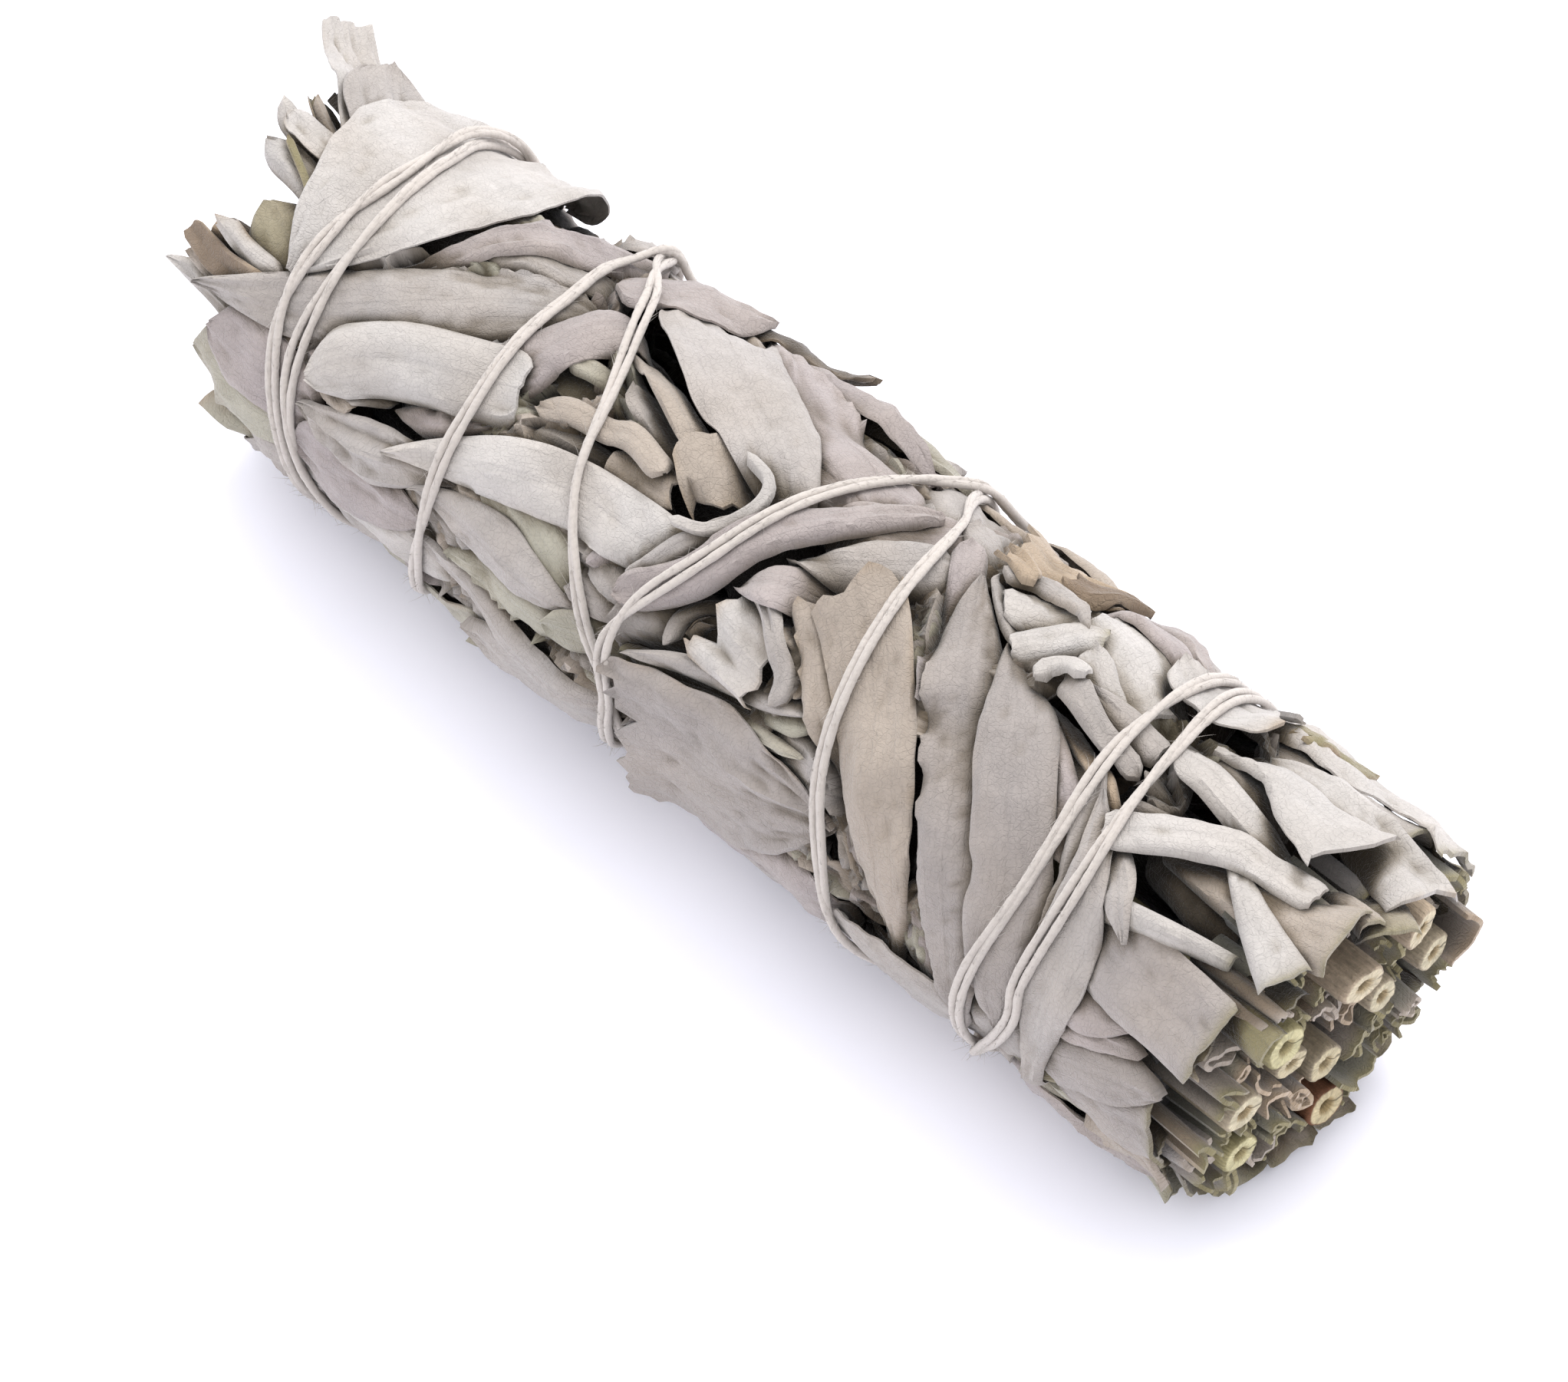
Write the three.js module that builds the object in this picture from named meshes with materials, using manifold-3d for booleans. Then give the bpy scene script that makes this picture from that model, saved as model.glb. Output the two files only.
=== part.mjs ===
// A bunch of dried white sage: leaves laid round a bunch of stems, cut square at one end, and bound with
// cotton string. Millimetres, +Z up. The bunch lies along X on a flat strip of its underside, with its cut
// end towards +X. A place on the bunch is (x, angle): x runs along its axis from the middle, and the angle,
// in degrees, turns from the top (0) over the front (the -Y side, 90) to the underside (180).
import * as THREE from "three";
import { mergeVertices } from "three/addons/utils/BufferGeometryUtils.js";
import Module from "manifold-3d";

const wasm = await Module();
wasm.setup();

// Driving dimensions
const BUNCH_RADIUS = 20; // the usual radius of the leaf surface
const AXIS_PLACE = new THREE.Vector3(2.6, 0.1, 19.2); // the middle of the bunch's axis, in the part's frame
const RADIUS_ALONG = [[-84, 15], [-66, 17], [-50, 19.2], [0, 20], [50, 20.6], [84, 20.6]]; // x, radius
const LAYER_DEPTH = 2.6; // how far the outer leaves stand above the core
const CORE_ENDS = [-57, 63];
const LEAF_SEGMENT = 9; // the usual length of a leaf's facets
const BLADE_ABOVE = 0.7; // a blade's thickness above the surface it is laid on
const BLADE_BELOW = 0.5; // and below it, where the blade stands out past the core
const ROOT_DEPTH = 1.5; // how far a blade over the core is sunk into it
const STRING_RADIUS = 0.65;
const STRING_SIDES = 6;
const STRING_STEP = 15; // degrees of winding from ring to ring
const TIE_DEPTH = 1.0; // how far the string draws the leaves in
const TIE_REACH = 2.6; // and how far to either side of it
const GAP = 0.3; // clearance between neighbouring pieces
const STEM_LENGTH = 30;
const STEM_SIDES = 8;
const RESTING_SHARE = 0.75; // share of a cupped leaf's edge drop that lifts its spine
const RANDOM_SEED = 20240;

const DEG = Math.PI / 180;

// Leaves laid by hand, from the lowest to the topmost: name, from x and angle, to x and angle, width, bow (to
// the left of the way it runs), shape of each end, cup in degrees (edges down), lift of each end, and how far
// the leaf is sunk into what it lies on.
const LAID_LEAVES = [
  // far end, with the tips that stand out past it
  ["far_tan", -50, 34, -64.5, 29, 9, 0, "round", "round", 25, 0, 0.5, 1.5],
  ["far_brown", -50, 49, -65, 47, 6.5, 0, "round", "torn", 50, 0, 0, 1.5],
  ["far_curl", -52, 8, -68, 0, 5, 0, "round", "round", 60, 0, 0.5, 1],
  ["far_roll", -52, -6, -69.5, -13, 5.5, 0, "round", "torn", 60, 0, 0, 1],
  ["spike_back", -50, -64, -70, -62, 8, 0, "round", "point", 20, 0, 0, 0],
  ["spike", -48, -40, -80, -42, 9.5, 0, "round", "round", 18, 0, 2, 0],
  ["far_low", -46, 77, -64, 72, 7.5, 0, "round", "torn", 20, 0, 0, 0.5],
  // far third
  ["ridge_slim", -46, 14, -29, -46, 6.5, 0, "point", "round", 35, 0, 0, 0],
  ["knuckle", -35, -52, -16, -47, 10.5, 0, "round", "round", 30, 0, 0, 0],
  ["pointed_long", -62, 58, -19, -15, 11.5, 1.5, "point", "stalk", 22, 0, 0, 0],
  ["left_upper", -31, 72, -8, 73, 8, 0, "point", "round", 30, 0, 0, 0],
  ["left_middle", -30, 86, -8, 92, 6.5, 0, "point", "round", 30, 0, 0, 0],
  ["left_lower", -31, 103, -5, 108, 9.5, 0, "round", "round", 20, 0, 0, 0],
  ["big_left", -36, 60, -5, 33, 10.5, -0.5, "point", "cut", 16, 0, 0.6, 0],
  ["arch", -48, 62, -25, 27, 10, -1, "round", "round", 24, 1.2, 0.4, 0],
  ["top_wide", -52, -78, -49.5, 45, 20, 1.5, "round", "point", 14, 0, 0, 0],
  // the nest of small leaves in the recess
  ["nest_wide", -24, 6, -6, 4, 7.5, 0, "round", "cut", 30, 0, 0, 1.5],
  ["nest_slip", -18, 10, -9, 15, 4.2, 0, "round", "round", 45, 0, 0, 1.2],
  ["nest_fold", -18, 28, -7, 21, 6, 0, "round", "round", 35, 0, 0, 0.8],
  ["tan_knob", -12, 13, -4, 11, 9, 0, "round", "torn", 32, 0, 0.8, 0.5],
  ["scroll_left", -10, 52, -2, 44, 5, 0, "round", "cut", 95, 0, 0, 0],
  // middle, upper side
  ["dark_edge", -21, -54, -7, -62, 6, 0, "torn", "torn", 15, 0, 1.6, 0],
  ["slope_wide", -14, -30, 6, -18, 8.5, 0, "round", "point", 30, 0, 0, 0],
  ["slope_slim", -12, -43, 7, -37, 6.5, 0, "round", "point", 35, 0, 0, 0],
  ["pale_wide", -22, -28, 3, 3, 10, 0, "round", "cut", 14, 0, 0, 0],
  ["rope", -6, 49, 9, -28, 5.5, -0.8, "round", "point", 50, 0, 0, 0],
  // middle, lower side
  ["low_band", -2, 57, 17, 51, 4.8, 0, "point", "point", 40, 0, 0, 0],
  ["finger", -11, 60, -1, 57, 7, 0, "round", "round", 35, 0, 0, 0],
  ["lid", 3, 34, 13, 13, 8, 0, "round", "point", 32, 0, 0, 0],
  ["brow", 2, 18, 18, -14, 8.5, 0, "point", "point", 26, 0, 0, 0],
  ["scroll_mid", -1, 45, 5, 49, 5, 0, "cut", "round", 90, 0, 0, 0],
  ["crumple_wide", 2, 38, 9, 62, 8.5, 0, "torn", "torn", 22, 0, 0, 0],
  ["torn_strip", 10, 23, 20, 67, 6, 0, "torn", "point", 20, 0, 0, 0],
  ["shawl", -4, 92, 25, 72, 16, 0, "torn", "point", 4, 1.8, 0, 0],
  ["shawl_under", 6, 112, 30, 104, 11, 0, "round", "round", 20, 0, 0, 0],
  ["torn_front", 10.5, 11, 35, 106, 12.5, -1.2, "torn", "point", 15, 0.4, 0, 0],
  // the long leaves that run down to the ties
  ["fold_slim", 14, -13, 24, 27, 5.2, 0, "round", "point", 40, 0, 0, 0],
  ["long_right", 28, -9, 49, 39, 7, -2, "point", "point", 30, 0, 0, 0],
  ["long_middle", 24, -6, 48, 90, 10.8, -3, "point", "point", 20, 0, 0, 0],
  ["long_left", 17, -14, 41, 101, 12, -3.3, "point", "point", 20, 0, 0, 0],
  ["long_end", 44, 18, 52, 105, 10.5, -2, "point", "round", 22, 0, 0, 0],
  // upper side near the ties
  ["side_top", 32, -62, 53, -62, 10, 0, "round", "torn", 20, 0, 0, 0],
  ["brown_wing", 11, -52, 29, -54, 10, 0, "torn", "cut", 15, 0, 1.3, 0],
  ["thin_long", 20, -37, 40, -38, 5, 0, "torn", "point", 40, 0, 0, 0],
  ["puffy", 18, -24, 27, -16, 9, 0, "round", "round", 45, 0, 0, 0],
  ["egg", 23, -8, 32, -14, 7, 0, "round", "round", 55, 0, 0, 0],
  ["block", 28, -27, 41, -20, 10, 0, "round", "cut", 25, 0, 0, 0],
  ["hook", 29, -4, 46, 6, 5.8, 0, "round", "point", 50, 0.6, 0, 0],
  ["cap_leaf", 37, -41, 51, -42, 11, 0, "round", "torn", 18, 0, 0.8, 0],
  // cut end
  ["cavity_back", 49, 8, 69, 22, 8, 0, "round", "cut", 25, 0, 0, 2.5],
  ["rim_green", 56, 58, 70, 52, 7.5, 0, "round", "cut", 35, 0, 0, 1.5],
  ["lower_point", 53, 97, 68, 102, 10, 0, "round", "point", 18, 0, 0.6, 0],
  ["lower_beige", 50, 87, 64, 72, 9, 0, "round", "cut", 18, 0, 0.4, 0],
  ["panel", 48, 43, 66, 49, 13, 0, "round", "cut", 10, 0, 0.8, 0],
  ["rolled_tip", 52, 40, 62, 33, 5, 0, "round", "cut", 85, 0, 0, 0],
  ["flap_far", 50, -64, 71, -57, 10.5, 0, "round", "cut", 15, 0, 0, 0],
  ["flap_outer", 48, -45, 74, -31, 10.5, 0, "round", "cut", 18, 0, 0.5, 0],
  ["flap_fan", 47, -29, 67, -23, 7.5, 0, "point", "torn", 20, 0, 0.6, 0],
  ["flap_tube", 47, -8, 65, -8, 6, 0, "round", "cut", 60, 0, 0, 0],
  ["strap_twist", 46, 13, 65, 2, 5, 0.6, "point", "cut", 30, 0, 0, 0],
  ["stalk_leaf", 59, 4, 71, 9, 6.5, 0, "round", "cut", 50, 0, 0, 1],
  ["blade_twist", 57, 6, 67, 21, 4.8, 0, "point", "cut", 20, 0, 0.8, 0],
];

// Hollows between the leaves, which show dark: x, angle, reach along x, reach round the bunch, depth.
const HOLLOWS = [
  [-25.5, 20, 2.6, 2.6, 4],
  [-17.5, -5, 2.4, 2.2, 4],
  [-40, -33, 2.6, 2.4, 3],
  [56, 27, 4.6, 4, 5.5],
  [66, -7, 3, 2.6, 4],
  [58, -26, 2.4, 2.4, 3.5],
];

// Stems, each in a plain hole at the cut end: distance from the axis, angle, radius, x of the cut.
const STEMS = [
  [13.4, 44, 2.2, 70],
  [13.4, 78, 2.1, 69],
  [11, 2, 2.3, 71],
  [7, 66, 1.9, 68.5],
  [13.2, 116, 2.2, 68],
  [5.6, -48, 1.8, 69.5],
  [13, -40, 2.1, 70],
  [3, 160, 2.0, 68],
  [13, 186, 2.2, 67],
  [13.2, 270, 2.1, 68],
];

// The string, wound from the far end to the cut end and back: turns counted in degrees, and x.
const STRING_ROUTE = [
  [-140, -56], [-125, -53.4], [-55, -55], [-20, -52.4], [15, -50.5], [60, -50], [100, -47.2],
  [200, -42], [305, -32.5], [342, -25], [372, -19.5], [398, -16], [427, -9.5], [460, -4],
  [560, 2], [665, 9], [698, 14], [730, 17], [778, 20], [820, 25],
  [920, 34], [1025, 40.6], [1080, 42], [1127, 43.4], [1180, 41],
  [1280, 41.6], [1385, 43.4], [1438, 46], [1475, 48], [1510, 47], [1540, 45],
  [1640, 26], [1745, 9.5], [1783, 4.6], [1826, 0.4], [1860, -4.6], [1900, -5],
  [2000, -17], [2105, -31.5], [2160, -31], [2205, -29.8], [2260, -31.2],
  [2370, -44], [2465, -54.6], [2515, -53.6], [2567, -53.6], [2620, -49.5], [2690, -50.5],
  [2755, -53.4], [2770, -50.6],
];
const KNOT_TURNS = [-125, 2755]; // where the string's two ends are knotted together, on the back
const KNOT_RADIUS = 1.5;
const STRING_RISE = 1.4; // the furthest that the string's centre stands above the usual surface

// Seeded random numbers from 0 to 1 (mulberry32).
function randomSource(seed) {
  let state = seed;
  return () => {
    state = (state + 0x6d2b79f5) | 0;
    let t = Math.imul(state ^ (state >>> 15), 1 | state);
    t = (t + Math.imul(t ^ (t >>> 7), 61 | t)) ^ t;
    return ((t ^ (t >>> 14)) >>> 0) / 4294967296;
  };
}

function radiusAt(x) {
  const last = RADIUS_ALONG.length - 1;
  const i = RADIUS_ALONG.findIndex(([place]) => place > x);
  if (i === 0) return RADIUS_ALONG[0][1];
  if (i < 0) return RADIUS_ALONG[last][1];
  const [[x0, r0], [x1, r1]] = [RADIUS_ALONG[i - 1], RADIUS_ALONG[i]];
  return r0 + ((r1 - r0) * (x - x0)) / (x1 - x0);
}

// A point of the bunch from its place (x, angle) and its distance r from the axis.
function pointAt(x, angle, r) {
  return new THREE.Vector3(x, -r * Math.sin(angle * DEG), r * Math.cos(angle * DEG));
}

function hollowDepth(x, angle) {
  let depth = 0;
  for (const [hx, ha, alongReach, roundReach, most] of HOLLOWS) {
    const turn = ((angle - ha + 540) % 360) - 180;
    const far = ((x - hx) / alongReach) ** 2 + ((turn * DEG * BUNCH_RADIUS) / roundReach) ** 2;
    depth = Math.max(depth, most * Math.exp(-far));
  }
  return depth;
}

function coreRadius(x, angle) {
  return radiusAt(x) - LAYER_DEPTH - hollowDepth(x, angle);
}

// How far the string draws the surface in at a place.
function tieDepth(x, angle) {
  let nearest = Infinity;
  for (const p of WINDINGS) {
    const turn = ((((angle - p.turn + 180) % 360) + 360) % 360) - 180;
    if (Math.abs(turn) > 12) continue;
    nearest = Math.min(nearest, (x - p.x) ** 2 + (turn * DEG * BUNCH_RADIUS) ** 2);
  }
  return TIE_DEPTH * Math.exp(-nearest / TIE_REACH ** 2);
}

// A point of the leaves or the core, drawn in by the string.
function drawnPoint(x, angle, r) {
  return pointAt(x, angle, r - tieDepth(x, angle));
}

// The height of what has been laid so far, on a grid over the bunch.
class Relief {
  static LOW = -86;
  static STEP = 0.5;
  static TURN_STEP = 1.5;
  constructor() {
    this.columns = Math.round(360 / Relief.TURN_STEP);
    this.rows = Math.round((-2 * Relief.LOW) / Relief.STEP) + 1;
    this.heights = new Float64Array(this.rows * this.columns);
    for (let i = 0; i < this.rows; i++)
      for (let k = 0; k < this.columns; k++) {
        const x = Relief.LOW + i * Relief.STEP;
        const angle = k * Relief.TURN_STEP;
        this.heights[i * this.columns + k] = coreRadius(x, angle);
      }
  }
  cell(x, angle) {
    const i = Math.min(this.rows - 1, Math.max(0, Math.round((x - Relief.LOW) / Relief.STEP)));
    const k = ((Math.round(angle / Relief.TURN_STEP) % this.columns) + this.columns) % this.columns;
    return i * this.columns + k;
  }
  at(x, angle) {
    return this.heights[this.cell(x, angle)];
  }
  raise(x, angle, r) {
    const c = this.cell(x, angle);
    this.heights[c] = Math.max(this.heights[c], r);
  }
}

// How a leaf narrows towards each kind of end: the share of its length that narrows, the power of its curve,
// and the width left at the very end.
const END_SHAPES = {
  point: [0.6, 0.95, 0.06],
  round: [0.22, 0.6, 0.25],
  stalk: [0.75, 0.8, 0.3],
  cut: [0, 1, 1],
  torn: [0, 1, 1],
};

function endShare(shape, distance) {
  const [reach, power, least] = END_SHAPES[shape];
  if (distance >= reach) return 1;
  return least + (1 - least) * Math.sin((Math.PI / 2) * (distance / reach)) ** power;
}

// One leaf as a grid of places and heights. It rests on what lies under it, and raises the relief.
function layLeaf(relief, leaf) {
  const [, x0, a0, x1, a1, width, bow, start, end, cupDegrees, liftStart, liftEnd, sunk] = leaf;
  const from = new THREE.Vector2(x0, a0 * DEG * BUNCH_RADIUS);
  const way = new THREE.Vector2(x1, a1 * DEG * BUNCH_RADIUS).sub(from);
  const along = THREE.MathUtils.clamp(Math.round(way.length() / LEAF_SEGMENT), 2, 4);
  const across = 2;
  const left = new THREE.Vector2(-way.y, way.x).normalize();
  const cup = Math.max(cupDegrees, 2) * DEG;
  const rows = [];
  for (let i = 0; i <= along; i++) {
    const u = i / along;
    const half = (width / 2) * endShare(start, u) * endShare(end, 1 - u);
    const centre = from.clone().addScaledVector(way, u).addScaledVector(left, bow * 4 * u * (1 - u));
    const row = [];
    for (let j = 0; j <= across; j++) {
      const v = (2 * j) / across - 1;
      const place = centre.clone().addScaledVector(left, (half / cup) * Math.sin(cup * v));
      const drop = (half / cup) * (1 - Math.cos(cup * v));
      row.push({ x: place.x, angle: place.y / DEG / BUNCH_RADIUS, drop });
    }
    row.spine = Math.max(...row.map((p) => relief.at(p.x, p.angle) + RESTING_SHARE * p.drop)) - sunk;
    row.lift = liftStart * Math.max(0, 1 - 3 * u) + liftEnd * Math.max(0, 3 * u - 2);
    rows.push(row);
  }
  const spines = rows.map((row, i) => {
    const before = rows[Math.max(0, i - 1)].spine;
    const after = rows[Math.min(along, i + 1)].spine;
    return Math.max(row.spine - 0.3, (before + 2 * row.spine + after) / 4);
  });
  rows.forEach((row, i) => {
    for (const p of row) p.r = spines[i] - p.drop + row.lift;
  });
  raiseUnder(relief, rows);
  return rows;
}

function raiseUnder(relief, rows) {
  const SAMPLES = 16; // across each facet, which keeps them closer together than the relief's cells
  const { lerp } = THREE.MathUtils;
  for (let i = 0; i + 1 < rows.length; i++)
    for (let j = 0; j + 1 < rows[i].length; j++) {
      const [p, q, s, t] = [rows[i][j], rows[i][j + 1], rows[i + 1][j], rows[i + 1][j + 1]];
      for (let a = 0; a <= SAMPLES; a++)
        for (let b = 0; b <= SAMPLES; b++) {
          const row = (from, to, key) => lerp(from[key], to[key], b / SAMPLES);
          const mix = (key) => lerp(row(p, q, key), row(s, t, key), a / SAMPLES);
          relief.raise(mix("x"), mix("angle"), mix("r") + BLADE_ABOVE);
        }
    }
}

// The geometry with its faces turned to look out of the body that they close.
function facingOut(points, faces) {
  let volume = 0;
  for (let i = 0; i < faces.length; i += 3) {
    const [a, b, c] = [points[faces[i]], points[faces[i + 1]], points[faces[i + 2]]];
    volume += a.dot(b.clone().cross(c));
  }
  const geometry = new THREE.BufferGeometry();
  const places = points.flatMap((p) => [p.x, p.y, p.z]);
  geometry.setAttribute("position", new THREE.Float32BufferAttribute(places, 3));
  geometry.setIndex(volume > 0 ? faces : faces.reverse());
  return geometry;
}

function solidOf(geometry) {
  const bare = geometry.clone();
  bare.deleteAttribute("normal");
  bare.deleteAttribute("uv");
  const merged = mergeVertices(bare, 1e-4);
  return new wasm.Manifold(
    new wasm.Mesh({
      numProp: 3,
      vertProperties: merged.attributes.position.array,
      triVerts: new Uint32Array(merged.index.array),
    }),
  );
}

// A closed slab between an underside and a top, each a grid of points in rows.
function slabSolid(bottom, top) {
  const rows = bottom.length;
  const across = bottom[0].length;
  const under = (i, j) => i * across + j;
  const over = (i, j) => rows * across + i * across + j;
  const faces = [];
  const quad = (a, b, c, d) => faces.push(a, b, c, a, c, d);
  for (let i = 0; i + 1 < rows; i++) {
    for (let j = 0; j + 1 < across; j++) {
      quad(over(i, j), over(i, j + 1), over(i + 1, j + 1), over(i + 1, j));
      quad(under(i, j), under(i + 1, j), under(i + 1, j + 1), under(i, j + 1));
    }
    quad(under(i, 0), over(i, 0), over(i + 1, 0), under(i + 1, 0));
    quad(under(i, across - 1), under(i + 1, across - 1), over(i + 1, across - 1), over(i, across - 1));
  }
  for (let j = 0; j + 1 < across; j++) {
    quad(under(0, j), under(0, j + 1), over(0, j + 1), over(0, j));
    quad(under(rows - 1, j), over(rows - 1, j), over(rows - 1, j + 1), under(rows - 1, j + 1));
  }
  return solidOf(facingOut([...bottom.flat(), ...top.flat()], faces));
}

// A closed body through rings of points, with a cap fanned from a middle point at each end.
function ringSolid(rings, first, last) {
  const sides = rings[0].length;
  const points = [...rings.flat(), first, last];
  const firstCap = rings.length * sides;
  const lastRing = (rings.length - 1) * sides;
  const faces = [];
  for (let k = 0; k < sides; k++) {
    const next = (k + 1) % sides;
    for (let row = 0; row < lastRing; row += sides) {
      faces.push(row + k, row + next, row + sides + next, row + k, row + sides + next, row + sides + k);
    }
    faces.push(firstCap, next, k, firstCap + 1, lastRing + k, lastRing + next);
  }
  return solidOf(facingOut(points, faces));
}

const join = (solids) => solids.reduce((whole, solid) => whole.add(solid));

// The geometry of a solid's main body, without loose scraps or sealed hollows.
function bodyGeometry(solid) {
  const { vertProperties, triVerts } = solid.getMesh();
  const parent = Array.from({ length: vertProperties.length / 3 }, (_, i) => i);
  const rootOf = (i) => {
    while (parent[i] !== i) {
      parent[i] = parent[parent[i]];
      i = parent[i];
    }
    return i;
  };
  for (let i = 0; i < triVerts.length; i += 3) {
    parent[rootOf(triVerts[i + 1])] = rootOf(triVerts[i]);
    parent[rootOf(triVerts[i + 2])] = rootOf(triVerts[i]);
  }
  const bodies = new Map();
  for (let i = 0; i < triVerts.length; i += 3) {
    const root = rootOf(triVerts[i]);
    if (!bodies.has(root)) bodies.set(root, []);
    bodies.get(root).push(triVerts[i], triVerts[i + 1], triVerts[i + 2]);
  }
  const largest = [...bodies.values()].reduce((best, faces) => (faces.length > best.length ? faces : best));
  const places = largest.flatMap((v) => [...vertProperties.subarray(3 * v, 3 * v + 3)]);
  const geometry = new THREE.BufferGeometry();
  geometry.setAttribute("position", new THREE.Float32BufferAttribute(places, 3));
  return mergeVertices(geometry, 1e-7);
}

// A blade's underside: sunk in the core, or just below the blade where it stands out past the core's ends.
function undersideAt(p) {
  const overCore = p.x > CORE_ENDS[0] + 1 && p.x < CORE_ENDS[1] - 1;
  return overCore ? coreRadius(p.x, p.angle) - ROOT_DEPTH : p.r - BLADE_BELOW;
}

function leafSolid(rows) {
  const layer = (height) => rows.map((row) => row.map((p) => drawnPoint(p.x, p.angle, height(p))));
  return slabSolid(layer(undersideAt), layer((p) => p.r + BLADE_ABOVE));
}

// Leaves on the sides that no hand-laid leaf reaches, in rings along the bunch, placed by rule with a seeded
// scatter.
function backLeaves(random) {
  const RINGS = [-50, -24, 2, 28, 53];
  const FIRST_ANGLE = 124;
  const LAST_ANGLE = 284;
  const PER_RING = 5;
  const leaves = [];
  RINGS.forEach((ringX, ring) => {
    for (let k = 0; k < PER_RING; k++) {
      const share = (k + (ring % 2) / 2) / (PER_RING - 0.5);
      const angle = FIRST_ANGLE + (LAST_ANGLE - FIRST_ANGLE) * share + 6 * (random() - 0.5);
      const length = 34 + 12 * random();
      const slant = 40 * (random() - 0.5);
      const width = 12 + 4 * random();
      const cup = 24 + 16 * random();
      const middle = ringX + 6 * (random() - 0.5);
      const half = Math.min(length / 2, 70 - Math.abs(middle));
      const last = ring === RINGS.length - 1;
      const end = last ? 60 + 11 * random() : middle + half;
      leaves.push(["back", middle - half, angle - slant / 2, end, angle + slant / 2,
        width, 2 * (random() - 0.5), "round", last ? "cut" : "point", cup, 0, 0, 0]);
    }
  });
  return leaves;
}

// The core that every leaf is rooted in.
function coreSolid() {
  const RINGS = 14;
  const SIDES = 20;
  const [low, high] = CORE_ENDS;
  const rings = Array.from({ length: RINGS + 1 }, (_, i) => {
    const x = low + ((high - low) * i) / RINGS;
    return Array.from({ length: SIDES }, (_, k) => {
      const angle = (k * 360) / SIDES;
      return drawnPoint(x, angle, coreRadius(x, angle));
    });
  });
  return ringSolid(rings, new THREE.Vector3(low, 0, 0), new THREE.Vector3(high, 0, 0));
}

// Leaf edges that show at an end of the bunch: curved strips standing out of the core's face.
function endStrips(random, face, out, count) {
  const SEGMENTS = 3;
  const THICK = 0.9;
  const FURTHEST = 15.5; // from the axis
  const SUNK = 1.5; // into the core's face
  const strips = [];
  const taken = face > 0 ? STEMS.map(([far, angle, r]) => [pointAt(0, angle, far), r + 0.8]) : [];
  while (strips.length < count) {
    const centre = pointAt(0, 360 * random(), FURTHEST * Math.sqrt(random()));
    const bend = 1.7 + 1.9 * random();
    const turn = 360 * random();
    const span = 150 + 110 * random();
    const length = out + 2.6 * (random() - 0.5);
    if (taken.some(([p, r]) => p.distanceTo(centre) < r + bend)) continue;
    taken.push([centre, bend * 0.85]);
    const edge = (r, x) => Array.from({ length: SEGMENTS + 1 }, (_, k) => {
      const at = (turn + (span * k) / SEGMENTS) * DEG;
      return new THREE.Vector3(x, centre.y + r * Math.cos(at), centre.z + r * Math.sin(at));
    });
    const outward = Math.sign(face);
    const side = (r) => [edge(r, face - SUNK * outward), edge(r, face + length * outward)];
    strips.push(slabSolid(side(bend), side(bend + THICK)));
  }
  return strips;
}

// A stem: a round stalk with a pith hollow at its cut end.
function stemGeometry(radius) {
  const BORE = 0.5 * radius;
  const BORE_DEPTH = 2.5;
  const profile = [[0, 0], [radius * 0.9, 0], [radius, STEM_LENGTH * 0.8], [radius * 0.96, STEM_LENGTH],
    [BORE, STEM_LENGTH], [BORE * 0.8, STEM_LENGTH - BORE_DEPTH], [0, STEM_LENGTH - BORE_DEPTH]];
  const geometry = new THREE.LatheGeometry(profile.map(([r, h]) => new THREE.Vector2(r, h)), STEM_SIDES);
  return geometry.rotateZ(-Math.PI / 2); // its length along +X
}

function stemPlace([far, angle, , cut]) {
  const centre = pointAt(0, angle, far);
  return new THREE.Vector3(cut - STEM_LENGTH, centre.y, centre.z);
}

// The string's places, every STRING_STEP degrees of its winding.
function windingPlaces() {
  const route = new THREE.SplineCurve(STRING_ROUTE.map(([turn, x]) => new THREE.Vector2(turn, x)));
  const dense = route.getPoints(STRING_ROUTE.length * 24);
  const places = [];
  for (let turn = STRING_ROUTE[0][0]; turn <= STRING_ROUTE.at(-1)[0]; turn += STRING_STEP) {
    const after = Math.max(1, dense.findIndex((p) => p.x >= turn));
    const [p, q] = [dense[after - 1], dense[after]];
    places.push({ turn, x: THREE.MathUtils.mapLinear(turn, p.x, q.x, p.y, q.y) });
  }
  return places;
}

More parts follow.
